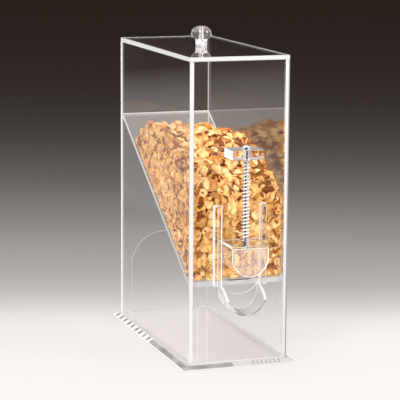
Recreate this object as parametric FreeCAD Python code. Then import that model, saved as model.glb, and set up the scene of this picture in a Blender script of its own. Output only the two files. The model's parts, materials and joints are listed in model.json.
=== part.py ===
# Gravity bulk food bin: a narrow tower of clear sheet with a sloped hopper floor, a loose lid with a turned
# knob, and a spring-loaded gate that is lifted by a U-shaped handle over a fixed chute.
# Millimetres. X runs to the right along the front, Y to the back and Z up. The origin is the centre of the
# base plate's underside. Values that end in _height are measured up from the base plate's top face.
import FreeCAD, Part
import math
import os
from FreeCAD import Vector

# --- Driving dimensions ---------------------------------------------------------------------------------

# Tower of cemented sheet
tower_width = 140.0
tower_depth = 318.0
wall_height = 406.0
wall_sheet = 6.0

# Base plate
base_thickness = 6.0
base_overhang = 10.5
base_bevel_width = 8.0
base_bevel_drop = 4.8

# Lid and knob
lid_thickness = 6.0
lid_edge_break = 0.8
knob_head_diameter = 28.6
knob_rim_radius = 8.4
knob_crown_start_angle = 55.0
knob_rim_steps = 3
knob_crown_steps = 2
knob_neck_diameter = 16.0
knob_neck_top_diameter = 18.6
knob_neck_height = 9.8
knob_flare_height = 4.5
knob_screw_diameter = 5.0
knob_screw_depth = 23.0
knob_screw_head_diameter = 9.5
knob_screw_head_height = 3.2
knob_screw_head_bevel = 0.9
knob_screw_slot_width = 1.2
knob_screw_slot_depth = 1.4
thread_gap = 0.1

# Hopper floor
hopper_sheet = 6.0
hopper_front_height = 112.0
hopper_back_height = 301.0

# Round-headed cut-out low in the back wall
cutout_width = 100.0
cutout_height = 121.0

# Outlet through the front wall
outlet_width = 44.0
outlet_height = 36.0
outlet_corner_radius = 10.0

# Rails that trap the gate
rail_length = 109.0
rail_bottom_height = 106.5
rail_gap = 54.0
rail_cover_width = 10.0
rail_cover_thickness = 6.0
rail_edge_break = 0.5

# Gate plate
gate_thickness = 3.0
gate_height = 74.25
gate_face_gap = 0.3
gate_side_gap = 0.4
gate_overlap = 3.6

# Handle on the gate
handle_side_gap = 1.6
handle_wall = 3.0
handle_reach = 46.0
handle_drop = 42.75
shelf_thickness = 4.0
face_thickness = 3.0

# Chute under the gate
chute_wall = 3.1
chute_reach = 33.0
chute_straight = 8.2
chute_cheek_drop = 16.0

# Spring block high on the front wall
block_width = 43.5
block_depth = 34.0
block_thickness = 12.7
block_top_height = 292.0
block_edge_break = 0.6

# Guide rod, its bush, cap, nuts and washer
rod_diameter = 6.0
rod_forward = 24.0
rod_running_gap = 0.05
rod_tail = 1.0
bush_diameter = 10.6
bush_press_gap = 0.02
cap_diameter = 12.5
cap_height = 6.0
cap_skirt = 2.0
cap_dome_steps = 3
cap_bore_depth = 3.5
cap_seat_gap = 0.3
nut_across_flats = 10.0
nut_height = 5.0
thin_nut_height = 2.8
nut_chamfer = 0.6
washer_diameter = 13.0
washer_thickness = 1.2

# Return spring
spring_wire = 1.2
spring_bore_gap = 1.6
spring_turns = 23
spring_wire_sides = 5
spring_runs_per_turn = 10
spring_end_gap = 0.3

# Flakes in the hopper: how far back from the front wall the heap's crest begins and ends, and its heights
fill_gap = 0.3
fill_front_left_height = 252.0
fill_front_right_height = 225.0
fill_crest_height = 307.0
fill_crest_start = 120.0
fill_crest_end = 192.0
fill_toe = 247.0

# --- Sizes worked out from them -------------------------------------------------------------------------

half_width = tower_width / 2
half_depth = tower_depth / 2
inner_half_width = half_width - wall_sheet
inner_half_depth = half_depth - wall_sheet
inner_depth = 2 * inner_half_depth
wall_bottom = base_thickness
wall_top = wall_bottom + wall_height
front_face = -half_depth
front_inside = -inner_half_depth

hopper_slope = (hopper_back_height - hopper_front_height) / inner_depth
hopper_rise = hopper_sheet * math.hypot(1.0, hopper_slope)

rail_bottom = wall_bottom + rail_bottom_height
rail_top = rail_bottom + rail_length
rail_outer = rail_gap / 2 + rail_cover_width
rail_spacer_thickness = gate_thickness + 2 * gate_face_gap
rail_spacer_width = rail_cover_width - gate_overlap - gate_side_gap

gate_half_width = rail_gap / 2 + gate_overlap
gate_back = front_face - gate_face_gap
gate_front = gate_back - gate_thickness
handle_half_width = rail_gap / 2 - handle_side_gap
gate_dip_half_width = handle_half_width - gate_side_gap
gate_dip = gate_half_width - math.sqrt(gate_half_width ** 2 - gate_dip_half_width ** 2)
gate_bottom = rail_bottom - gate_dip
gate_top = gate_bottom + gate_height

handle_bottom = gate_top - handle_drop
shelf_bottom = gate_top - shelf_thickness
handle_front = front_face - handle_reach

chute_half_width = handle_half_width + chute_wall
chute_bottom = rail_bottom - chute_straight - chute_half_width
chute_cheek_radius = (chute_reach ** 2 + chute_cheek_drop ** 2) / (2 * chute_cheek_drop)

block_top = wall_bottom + block_top_height
block_bottom = block_top - block_thickness
rod_y = front_face - rod_forward
rod_radius = rod_diameter / 2
washer_bottom = gate_top + thin_nut_height
washer_top = washer_bottom + washer_thickness
cap_bottom = block_top + cap_seat_gap


# --- Small helpers --------------------------------------------------------------------------------------

def slab(x_low, x_high, y_low, y_high, z_low, z_high):
    """A box between two corners."""
    return Part.makeBox(x_high - x_low, y_high - y_low, z_high - z_low, Vector(x_low, y_low, z_low))


def upright(radius, height, y, z):
    """An upright cylinder on the mid plane."""
    return Part.makeCylinder(radius, height, Vector(0, y, z))


def polygon_prism(points, direction):
    """The straight extrusion of a closed outline."""
    outline = Part.makePolygon([Vector(*point) for point in points + points[:1]])
    return Part.Face(outline).extrude(direction)


def break_edges(shape, size, wanted):
    """Chamfer the edges of a shape that a test picks out."""
    return shape.makeChamfer(size, [edge for edge in shape.Edges if wanted(edge)])


def round_headed(half, low, top, y, depth):
    """A door shape, straight below and half round above, that runs back along Y."""
    spring_line = top - half
    outline = Part.Wire([
        Part.LineSegment(Vector(-half, y, low), Vector(half, y, low)).toShape(),
        Part.LineSegment(Vector(half, y, low), Vector(half, y, spring_line)).toShape(),
        Part.Arc(Vector(half, y, spring_line), Vector(0, y, top), Vector(-half, y, spring_line)).toShape(),
        Part.LineSegment(Vector(-half, y, spring_line), Vector(-half, y, low)).toShape(),
    ])
    return Part.Face(outline).extrude(Vector(0, depth, 0))


def round_bottomed(half, bottom, top, y_front, y_back):
    """A U shape, straight above and half round below, between two Y planes."""
    centre = bottom + half
    outline = Part.Wire([
        Part.LineSegment(Vector(half, y_front, top), Vector(-half, y_front, top)).toShape(),
        Part.LineSegment(Vector(-half, y_front, top), Vector(-half, y_front, centre)).toShape(),
        Part.Arc(Vector(-half, y_front, centre), Vector(0, y_front, bottom),
                 Vector(half, y_front, centre)).toShape(),
        Part.LineSegment(Vector(half, y_front, centre), Vector(half, y_front, top)).toShape(),
    ])
    return Part.Face(outline).extrude(Vector(0, y_back - y_front, 0))


def trough(half, wall, bottom, top, y_front, y_back):
    """A U trough open above and at both ends."""
    outside = round_bottomed(half, bottom, top, y_front, y_back)
    return outside.cut(round_bottomed(half - wall, bottom + wall, top, y_front, y_back))


def turned(profile_edges, y):
    """A solid turned about an upright axis from edges that close on it."""
    face = Part.Face(Part.Wire(profile_edges))
    solid = face.revolve(Vector(0, y, 0), Vector(0, 0, 1), 360)
    if solid.Volume < 0:
        solid.reverse()
    return solid


def line(r_start, z_start, r_end, z_end, y):
    """A straight edge of a turned profile."""
    return Part.LineSegment(Vector(r_start, y, z_start), Vector(r_end, y, z_end)).toShape()


def stepped_arc(centre_r, centre_z, radius, start, end, steps, y):
    """An arc of a turned profile as short straight edges, which keeps the turned faces few."""
    points = []
    for step in range(steps + 1):
        angle = start + (end - start) * step / steps
        points.append((centre_r + radius * math.cos(angle), centre_z + radius * math.sin(angle)))
    return [line(*near, *far, y) for near, far in zip(points, points[1:])]


# --- Tower ----------------------------------------------------------------------------------------------

def make_base_plate():
    """A sheet with a wide bevel that falls to a narrow upright edge all round."""
    half_x = half_width + base_overhang
    half_y = half_depth + base_overhang
    foot_top = base_thickness - base_bevel_drop
    foot = slab(-half_x, half_x, -half_y, half_y, 0, foot_top)
    low = rectangle(half_x, half_y, foot_top)
    high = rectangle(half_x - base_bevel_width, half_y - base_bevel_width, base_thickness)
    return foot.fuse(Part.makeLoft([low, high], True, True)).removeSplitter()


def rectangle(half_x, half_y, z):
    """A closed rectangular wire centred on the origin."""
    corners = [(-half_x, -half_y), (half_x, -half_y), (half_x, half_y), (-half_x, half_y)]
    return Part.makePolygon([Vector(x, y, z) for x, y in corners + corners[:1]])


def make_side_wall(side):
    """A side wall, full depth, so that its polished edges show at the front and back."""
    x_low = min(side * inner_half_width, side * half_width)
    return slab(x_low, x_low + wall_sheet, -half_depth, half_depth, wall_bottom, wall_top)


def make_front_wall():
    """The front wall between the side walls, with the outlet at the foot of the hopper."""
    wall = slab(-inner_half_width, inner_half_width, front_face, front_inside, wall_bottom, wall_top)
    sill = wall_bottom + hopper_front_height
    outlet = slab(-outlet_width / 2, outlet_width / 2, front_face, front_inside, sill, sill + outlet_height)
    along_y = [e for e in outlet.Edges if e.BoundBox.YLength > wall_sheet / 2]
    return wall.cut(outlet.makeFillet(outlet_corner_radius, along_y))


def make_back_wall():
    """The back wall, with a round-headed cut-out that gives a hand access under the hopper."""
    wall = slab(-inner_half_width, inner_half_width, inner_half_depth, half_depth, wall_bottom, wall_top)
    cutout_top = wall_bottom + cutout_height
    return wall.cut(round_headed(cutout_width / 2, wall_bottom, cutout_top, inner_half_depth, wall_sheet))


def hopper_floor_height(y):
    """Z of the hopper floor's upper face at a place along Y."""
    return wall_bottom + hopper_front_height + hopper_slope * (y - front_inside)


def make_hopper_floor():
    """The sloped floor, its ends cut upright to meet the front and back walls."""
    high = hopper_floor_height(inner_half_depth)
    low = hopper_floor_height(front_inside)
    x = -inner_half_width
    profile = [
        (x, front_inside, low - hopper_rise),
        (x, inner_half_depth, high - hopper_rise),
        (x, inner_half_depth, high),
        (x, front_inside, low),
    ]
    return polygon_prism(profile, Vector(2 * inner_half_width, 0, 0))


# --- Lid ------------------------------------------------------------------------------------------------

def make_lid_plate():
    """The loose lid, flush with the tower, with a hole for the knob's screw."""
    plate = slab(-half_width, half_width, -half_depth, half_depth, wall_top, wall_top + lid_thickness)
    plate = break_edges(plate, lid_edge_break, lambda e: e.BoundBox.ZMin > wall_top + lid_thickness / 2)
    return plate.cut(upright(knob_screw_diameter / 2 + thread_gap, lid_thickness, 0, wall_top))


def make_lid_knob():
    """A turned knob: a neck that flares under a flattened ball, bored for its screw.

    The ball is a round rim with a flatter crown, and the two arcs meet without a break.
    """
    foot = wall_top + lid_thickness
    neck_top = foot + knob_neck_height
    flare = neck_top - knob_flare_height
    neck_radius = knob_neck_diameter / 2
    neck_top_radius = knob_neck_top_diameter / 2
    rim_r = knob_head_diameter / 2 - knob_rim_radius
    under_angle = -math.acos((neck_top_radius - rim_r) / knob_rim_radius)
    rim_z = neck_top - knob_rim_radius * math.sin(under_angle)
    crown_angle = math.radians(knob_crown_start_angle)
    crown_radius = knob_rim_radius + rim_r / math.cos(crown_angle)
    crown_z = rim_z - rim_r * math.tan(crown_angle)
    profile = [
        line(0, foot, neck_radius, foot, 0),
        line(neck_radius, foot, neck_radius, flare, 0),
        line(neck_radius, flare, neck_top_radius, neck_top, 0),
        *stepped_arc(rim_r, rim_z, knob_rim_radius, under_angle, crown_angle, knob_rim_steps, 0),
        *stepped_arc(0, crown_z, crown_radius, crown_angle, math.pi / 2, knob_crown_steps, 0),
        line(0, crown_z + crown_radius, 0, foot, 0),
    ]
    knob = turned(profile, 0)
    return knob.cut(upright(knob_screw_diameter / 2 + thread_gap, knob_screw_depth, 0, foot))


def make_lid_knob_screw():
    """The slotted screw that holds the knob from under the lid."""
    shank_radius = knob_screw_diameter / 2
    shank_top = wall_top + lid_thickness + knob_screw_depth - thread_gap
    head_radius = knob_screw_head_diameter / 2
    head_bottom = wall_top - knob_screw_head_height
    profile = [
        line(0, head_bottom, head_radius - knob_screw_head_bevel, head_bottom, 0),
        line(head_radius - knob_screw_head_bevel, head_bottom, head_radius,
             head_bottom + knob_screw_head_bevel, 0),
        line(head_radius, head_bottom + knob_screw_head_bevel, head_radius, wall_top, 0),
        line(head_radius, wall_top, shank_radius, wall_top, 0),
        line(shank_radius, wall_top, shank_radius, shank_top, 0),
        line(shank_radius, shank_top, 0, shank_top, 0),
        line(0, shank_top, 0, head_bottom, 0),
    ]
    half_slot = knob_screw_slot_width / 2
    slot = slab(-head_radius, head_radius, -half_slot, half_slot,
                head_bottom, head_bottom + knob_screw_slot_depth)
    return turned(profile, 0).cut(slot)


# --- Rails, gate and handle -----------------------------------------------------------------------------

def make_rail_spacer(side):
    """The strip that holds a rail's cover off the front wall by the gate's thickness."""
    x_low = min(side * rail_outer, side * (rail_outer - rail_spacer_width))
    return slab(x_low, x_low + rail_spacer_width, front_face - rail_spacer_thickness, front_face,
                rail_bottom, rail_top)


def make_rail_cover(side):
    """The outer strip of a rail, which overlaps the gate's edge."""
    x_low = min(side * rail_outer, side * rail_gap / 2)
    back = front_face - rail_spacer_thickness
    front = back - rail_cover_thickness
    cover = slab(x_low, x_low + rail_cover_width, front, back, rail_bottom, rail_top)
    return break_edges(cover, rail_edge_break, lambda e: e.BoundBox.YMax < front + rail_edge_break)


def make_gate_plate():
    """The sliding gate: square above, with a half-round lower end that dips into the chute."""
    half = gate_half_width
    arc_start = gate_bottom + half
    outline = Part.Wire([
        Part.LineSegment(Vector(half, gate_front, gate_top), Vector(-half, gate_front, gate_top)).toShape(),
        Part.LineSegment(Vector(-half, gate_front, gate_top), Vector(-half, gate_front, arc_start)).toShape(),
        Part.Arc(Vector(-half, gate_front, arc_start), Vector(0, gate_front, gate_bottom),
                 Vector(half, gate_front, arc_start)).toShape(),
        Part.LineSegment(Vector(half, gate_front, arc_start), Vector(half, gate_front, gate_top)).toShape(),
    ])
    return Part.Face(outline).extrude(Vector(0, gate_thickness, 0))


def make_handle_trough():
    """The U-shaped grip, cemented to the gate's face."""
    return trough(handle_half_width, handle_wall, handle_bottom, shelf_bottom,
                  handle_front + face_thickness, gate_front)


def make_handle_face():
    """The U-shaped panel that closes the grip at the front."""
    return round_bottomed(handle_half_width, handle_bottom, shelf_bottom,
                          handle_front, handle_front + face_thickness)


def make_handle_shelf():
    """The flat plate over the grip, drilled for the guide rod."""
    plate = slab(-handle_half_width, handle_half_width, handle_front, gate_front, shelf_bottom, gate_top)
    return plate.cut(upright(rod_radius + thread_gap, shelf_thickness, rod_y, shelf_bottom))


# --- Chute ----------------------------------------------------------------------------------------------

def make_chute():
    """The fixed trough under the gate, its cheeks rounded off towards the front."""
    body = trough(chute_half_width, chute_wall, chute_bottom, rail_bottom,
                  front_face - chute_reach, front_face)
    pivot_z = rail_bottom - chute_cheek_radius
    cheek = Part.makeCylinder(chute_cheek_radius, 2 * chute_half_width,
                              Vector(-chute_half_width, front_face, pivot_z), Vector(1, 0, 0))
    return body.common(cheek)


# --- Spring block, rod and spring -----------------------------------------------------------------------

def make_spring_block():
    """The thick clear block that guides the rod and carries the spring."""
    block = slab(-block_width / 2, block_width / 2, front_face - block_depth, front_face,
                 block_bottom, block_top)
    block = break_edges(block, block_edge_break, lambda e: e.BoundBox.YMax < front_face - block_depth / 2)
    return block.cut(upright(bush_diameter / 2 + bush_press_gap, block_thickness, rod_y, block_bottom))


def make_rod_bush():
    """The bright sleeve pressed into the block."""
    sleeve = upright(bush_diameter / 2, block_thickness, rod_y, block_bottom)
    return sleeve.cut(upright(rod_radius + rod_running_gap, block_thickness, rod_y, block_bottom))


def make_guide_rod():
    """The rod from below the shelf to inside the cap."""
    low = shelf_bottom - nut_height - rod_tail
    high = cap_bottom + cap_bore_depth - thread_gap
    return upright(rod_radius, high - low, rod_y, low)


def make_rod_cap():
    """The domed cap that stops the rod on the block."""
    radius = cap_diameter / 2
    crown = cap_bottom + cap_height
    dome_height = cap_height - cap_skirt
    dome_radius = (radius ** 2 + dome_height ** 2) / (2 * dome_height)
    rim_angle = math.acos(radius / dome_radius)
    profile = [
        line(0, cap_bottom, radius, cap_bottom, rod_y),
        line(radius, cap_bottom, radius, cap_bottom + cap_skirt, rod_y),
        *stepped_arc(0, crown - dome_radius, dome_radius, rim_angle, math.pi / 2, cap_dome_steps, rod_y),
        line(0, crown, 0, cap_bottom, rod_y),
    ]
    cap = turned(profile, rod_y)
    return cap.cut(upright(rod_radius + thread_gap, cap_bore_depth, rod_y, cap_bottom))


def make_rod_nut(low, height):
    """A hexagon nut on the rod, its corners turned off above and below."""
    corner = nut_across_flats / math.sqrt(3)
    points = []
    for step in range(6):
        angle = math.radians(60 * step + 30)
        points.append((corner * math.cos(angle), rod_y + corner * math.sin(angle), low))
    nut = polygon_prism(points, Vector(0, 0, height))
    turned_blank = upright(corner, height, rod_y, low)
    turned_blank = turned_blank.makeChamfer(nut_chamfer, [turned_blank.Edges[0], turned_blank.Edges[2]])
    return nut.common(turned_blank).cut(upright(rod_radius + thread_gap, height, rod_y, low))


def make_spring_washer():
    """The plain washer that the spring stands on."""
    disc = upright(washer_diameter / 2, washer_thickness, rod_y, washer_bottom)
    return disc.cut(upright(rod_radius + thread_gap, washer_thickness, rod_y, washer_bottom))


def make_return_spring():
    """The compression spring between the washer and the block.

    Its wire has flat sides and each turn has straight mitred runs, which keeps a long spring light.
    """
    mitred = 1
    low = washer_top + spring_end_gap + spring_wire / 2
    high = block_bottom - spring_end_gap - spring_wire / 2
    coil_radius = rod_radius + spring_bore_gap + spring_wire / 2
    pitch = (high - low) / spring_turns
    axis_points = []
    for step in range(spring_turns * spring_runs_per_turn + 1):
        angle = 2 * math.pi * step / spring_runs_per_turn
        axis_points.append(Vector(coil_radius * math.cos(angle), rod_y + coil_radius * math.sin(angle),
                                  low + pitch * step / spring_runs_per_turn))
    along = (axis_points[1] - axis_points[0]).normalize()
    sideways = along.cross(Vector(0, 0, 1)).normalize()
    upwards = sideways.cross(along)
    section = []
    for step in range(spring_wire_sides + 1):
        angle = 2 * math.pi * step / spring_wire_sides
        section.append(axis_points[0] + sideways * (spring_wire / 2 * math.cos(angle))
                       + upwards * (spring_wire / 2 * math.sin(angle)))
    return Part.makePolygon(axis_points).makePipeShell([Part.makePolygon(section)], True, True, mitred)


# --- Contents -------------------------------------------------------------------------------------------

def heap_outline(x, front_height):
    """One side of the heap: up the front wall, over the crest and down to the hopper floor."""
    start = front_inside + fill_gap
    toe = front_inside + fill_toe
    lift = fill_gap * math.hypot(1.0, hopper_slope)
    points = [
        (x, start, hopper_floor_height(start) + lift),
        (x, toe, hopper_floor_height(toe) + lift),
        (x, front_inside + fill_crest_end, wall_bottom + fill_crest_height),
        (x, front_inside + fill_crest_start, wall_bottom + fill_crest_height),
        (x, start, wall_bottom + front_height),
    ]
    return Part.makePolygon([Vector(*point) for point in points + points[:1]])


def make_cereal_fill():
    """The heap of flakes in the hopper, as one plain closed solid."""
    side = inner_half_width - fill_gap
    left = heap_outline(-side, fill_front_left_height)
    right = heap_outline(side, fill_front_right_height)
    return Part.makeLoft([left, right], True, True)


# --- Write every piece ----------------------------------------------------------------------------------

pieces = {
    "base_plate": make_base_plate(),
    "left_wall": make_side_wall(-1),
    "right_wall": make_side_wall(1),
    "front_wall": make_front_wall(),
    "back_wall": make_back_wall(),
    "hopper_floor": make_hopper_floor(),
    "lid_plate": make_lid_plate(),
    "lid_knob": make_lid_knob(),
    "lid_knob_screw": make_lid_knob_screw(),
    "left_rail_spacer": make_rail_spacer(-1),
    "right_rail_spacer": make_rail_spacer(1),
    "left_rail_cover": make_rail_cover(-1),
    "right_rail_cover": make_rail_cover(1),
    "gate_plate": make_gate_plate(),
    "handle_trough": make_handle_trough(),
    "handle_face": make_handle_face(),
    "handle_shelf": make_handle_shelf(),
    "chute": make_chute(),
    "spring_block": make_spring_block(),
    "rod_bush": make_rod_bush(),
    "guide_rod": make_guide_rod(),
    "rod_cap": make_rod_cap(),
    "rod_upper_nut": make_rod_nut(gate_top, thin_nut_height),
    "rod_lower_nut": make_rod_nut(shelf_bottom - nut_height, nut_height),
    "spring_washer": make_spring_washer(),
    "return_spring": make_return_spring(),
    "cereal_fill": make_cereal_fill(),
}

os.makedirs("parts", exist_ok=True)
for node, shape in pieces.items():
    if not shape.isValid() or shape.Volume <= 0:
        print("check", node, shape.isValid(), shape.Volume)
    shape.exportStep("parts/" + node + ".step")
print(len(pieces), "pieces")
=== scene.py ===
"""Looks of a gravity bulk food bin: clear sheet, bright edges, a sprung gate and a heap of toasted flakes.

Metres, in the part's own frame: X to the right along the front, Y to the back, Z up, with the origin at the
centre of the base plate's underside.
"""

from __future__ import annotations

import json
import logging
import math
import random
from dataclasses import dataclass, field
from enum import Enum
from typing import Callable, Iterable, Sequence

import bmesh
import bpy
from mathutils import Matrix, Vector, noise

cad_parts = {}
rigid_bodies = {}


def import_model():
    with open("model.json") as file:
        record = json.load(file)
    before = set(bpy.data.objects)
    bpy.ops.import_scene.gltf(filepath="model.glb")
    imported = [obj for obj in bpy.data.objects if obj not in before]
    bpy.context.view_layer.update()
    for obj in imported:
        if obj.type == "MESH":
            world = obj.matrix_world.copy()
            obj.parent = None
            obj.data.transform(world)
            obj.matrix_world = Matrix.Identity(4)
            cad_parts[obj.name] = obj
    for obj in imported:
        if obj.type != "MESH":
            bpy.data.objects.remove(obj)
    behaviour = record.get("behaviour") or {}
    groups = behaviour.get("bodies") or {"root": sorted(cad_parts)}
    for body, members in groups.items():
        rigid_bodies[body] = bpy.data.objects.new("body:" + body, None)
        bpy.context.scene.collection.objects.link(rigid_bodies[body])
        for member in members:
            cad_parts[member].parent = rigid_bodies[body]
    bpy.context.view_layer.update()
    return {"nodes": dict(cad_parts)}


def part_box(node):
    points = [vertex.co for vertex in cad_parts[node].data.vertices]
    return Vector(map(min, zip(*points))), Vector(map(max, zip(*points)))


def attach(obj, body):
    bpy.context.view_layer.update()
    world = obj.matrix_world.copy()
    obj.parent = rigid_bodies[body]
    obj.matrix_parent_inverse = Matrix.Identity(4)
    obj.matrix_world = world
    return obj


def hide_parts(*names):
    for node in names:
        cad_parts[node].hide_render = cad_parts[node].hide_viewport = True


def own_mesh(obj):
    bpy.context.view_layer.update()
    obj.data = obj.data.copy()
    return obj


LOG = logging.getLogger("food_bin")
MM = 0.001
GLUE_LINE = 0.04 * MM
SILL = 118 * MM
MERGE = 1e-6
CUT = 1e-7
X_AXIS, Y_AXIS, Z_AXIS = Vector((1, 0, 0)), Vector((0, 1, 0)), Vector((0, 0, 1))

Colour = tuple[float, float, float]
Span = tuple[float, float]
Ramp = tuple[float, float, float, float]
Socket = bpy.types.NodeSocket
Material = bpy.types.Material
Mesh = bmesh.types.BMesh
FaceTest = Callable[[bmesh.types.BMFace], bool]
DARK: Colour = (0.02, 0.02, 0.02)


class Body(Enum):
    """The bodies that a piece can ride on."""

    TOWER = "tower"
    GATE = "gate"
    LID = "lid"


class Slot(Enum):
    """The material slots of the record."""

    SHEET = "clear_sheet"
    KNOB = "clear_knob"
    METAL = "polished_metal"
    SPRING = "spring_steel"
    FLAKES = "flakes"


def rgba(colour: Colour) -> tuple[float, float, float, float]:
    """The colour with full alpha."""
    return (*colour, 1.0)


def level(light: float) -> Colour:
    """A slightly warm grey of a level."""
    return (light, light * 0.985, light * 0.975)


# --- Node benches ---------------------------------------------------------------------------------------


class Bench:
    """A short way to lay and join the nodes of one tree."""

    def __init__(self, tree: bpy.types.NodeTree) -> None:
        """Keep the tree of a material, a world or a group."""
        self.tree = tree

    def add(self, kind: str, **settings: object) -> bpy.types.Node:
        """Add a node.

        Args:
            kind: The node's type name.
            settings: Properties to set on it.

        Returns:
            The new node.
        """
        node = self.tree.nodes.new(kind)
        for name, value in settings.items():
            setattr(node, name, value)
        return node

    def feed(self, socket: Socket, value: object) -> None:
        """Join a socket to another, or write a plain value on it.

        Args:
            socket: The input that is fed.
            value: An output socket, or a number, colour or vector.
        """
        if isinstance(value, bpy.types.NodeSocket):
            self.tree.links.new(value, socket)
        else:
            socket.default_value = value

    def feed_all(self, node: bpy.types.Node, values: dict) -> bpy.types.Node:
        """Feed several inputs of a node.

        Args:
            node: The node.
            values: What goes into each input, by its name or number.

        Returns:
            The node.
        """
        for key, value in values.items():
            self.feed(node.inputs[key], value)
        return node

    def join(self, kind: str, *values: object, **settings: object) -> Socket:
        """Add a node, feed its first inputs in order and give its first output."""
        return self.feed_all(self.add(kind, **settings), dict(enumerate(values))).outputs[0]

    def sum(self, operation: str, *values: object, clamp: bool = False) -> Socket:
        """Lay a Math node on its values, held between 0 and 1 by clamp."""
        return self.join("ShaderNodeMath", *values, operation=operation, use_clamp=clamp)

    def times(self, first: object, second: object) -> Socket:
        """The product of two values."""
        return self.sum("MULTIPLY", first, second)

    def plus(self, first: object, second: object) -> Socket:
        """Two values added."""
        return self.sum("ADD", first, second)

    def minus(self, first: object, second: object) -> Socket:
        """The first value less the second."""
        return self.sum("SUBTRACT", first, second)

    def highest(self, first: object, *others: object) -> Socket:
        """The highest of some values.

        Args:
            first: One value.
            others: The others.

        Returns:
            The highest.
        """
        for other in others:
            first = self.sum("MAXIMUM", first, other)
        return first

    def range(self, value: object, low: float, high: float, to_low: float, to_high: float) -> Socket:
        """Map a value from one range to another, held within the second."""
        return self.join("ShaderNodeMapRange", value, low, high, to_low, to_high, clamp=True)

    def mask(self, value: object, low: float, high: float) -> Socket:
        """A mask that rises from 0 to 1 between two values, or falls where the second is the lower."""
        ends = (0.0, 1.0) if low < high else (1.0, 0.0)
        return self.range(value, min(low, high), max(low, high), *ends)

    def mix(self, share: object, first: object, second: object, blend: str = "MIX") -> Socket:
        """Mix two colours by the second one's share, in one of the Mix node's blend types."""
        node = self.add("ShaderNodeMix", data_type="RGBA", blend_type=blend)
        return self.feed_all(node, {0: share, 6: first, 7: second}).outputs[2]

    def noise(self, scale: object, detail: float, place: Socket) -> Socket:
        """The value at a place of a noise with a scale and a detail."""
        values = {"Vector": place, "Scale": scale, "Detail": detail}
        return self.feed_all(self.add("ShaderNodeTexNoise"), values).outputs["Fac"]

    def here(self) -> Socket:
        """The piece's own Object coordinates."""
        return self.add("ShaderNodeTexCoord").outputs["Object"]

    def mapped(self, place: Socket, scale: Sequence[float] = (1.0, 1.0, 1.0), turn: float = 0.0) -> Socket:
        """A place that is scaled, and turned about Z."""
        return self.join("ShaderNodeMapping", place, (0.0, 0.0, 0.0), (0.0, 0.0, turn), scale)

    def split(self, place: Socket) -> Sequence[Socket]:
        """The X, Y and Z of a place."""
        return self.feed_all(self.add("ShaderNodeSeparateXYZ"), {0: place}).outputs[:]

    def rays(self, first: str, *others: str) -> Socket:
        """Tell some kinds of ray from the rest.

        Args:
            first: The Light Path node's output for the first kind.
            others: Its outputs for the other kinds.

        Returns:
            1 for a ray of those kinds, and 0 for any other.
        """
        path = self.add("ShaderNodeLightPath")
        total = path.outputs[first]
        for kind in others:
            total = self.sum("ADD", total, path.outputs[kind], clamp=True)
        return total


def new_group(name: str, inputs: dict[str, float], outputs: Sequence[str]) -> tuple[Bench, dict, dict]:
    """Start a shader node group of plain numbers.

    Args:
        name: The group's name.
        inputs: Each input's default value by its name.
        outputs: Each output's name.

    Returns:
        The group's bench, its input sockets by name and its output sockets by name.
    """
    tree = bpy.data.node_groups.new(name, "ShaderNodeTree")
    for label, value in inputs.items():
        socket = tree.interface.new_socket(label, in_out="INPUT", socket_type="NodeSocketFloat")
        socket.default_value = value
    for label in outputs:
        tree.interface.new_socket(label, in_out="OUTPUT", socket_type="NodeSocketFloat")
    bench = Bench(tree)
    given = bench.add("NodeGroupInput")
    result = bench.add("NodeGroupOutput")
    return bench, {s.name: s for s in given.outputs}, {s.name: s for s in result.inputs}


class Groups:
    """The effects that more than one finish uses, each built once."""

    WIPED = (1.0, 1.0, 7.0)
    SPECKS = 9.0
    FINE = 6.0
    FINE_SHARE = 0.35

    def __init__(self) -> None:
        """Build the wear and the grain."""
        self.wear = self._wear()
        self.grain = self._grain()

    def _wear(self) -> bpy.types.NodeTree:
        """Faint wiping marks and specks.

        Returns:
            The group, which gives them as roughness and as height.
        """
        inputs = {"Scale": 60.0, "Least": 0.0, "Most": 0.02}
        bench, given, result = new_group("Wiping marks", inputs, ["Roughness", "Height"])
        place = bench.here()
        cloud = bench.noise(given["Scale"], 3.0, bench.mapped(place, self.WIPED))
        speck = bench.noise(bench.times(given["Scale"], self.SPECKS), 1.0, place)
        both = bench.times(cloud, speck)
        span = bench.minus(given["Most"], given["Least"])
        bench.feed(result["Roughness"], bench.sum("MULTIPLY_ADD", both, span, given["Least"]))
        bench.feed(result["Height"], both)
        return bench.tree

    def _grain(self) -> bpy.types.NodeTree:
        """Coarse and fine grain of a baked surface.

        Returns:
            The group, which gives it as a value and as height.
        """
        bench, given, result = new_group("Baked grain", {"Scale": 300.0}, ["Value", "Height"])
        place = bench.here()
        coarse = bench.noise(given["Scale"], 3.0, place)
        fine = bench.noise(bench.times(given["Scale"], self.FINE), 2.0, place)
        bench.feed(result["Value"], coarse)
        bench.feed(result["Height"], bench.plus(coarse, bench.times(fine, self.FINE_SHARE)))
        return bench.tree


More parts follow.
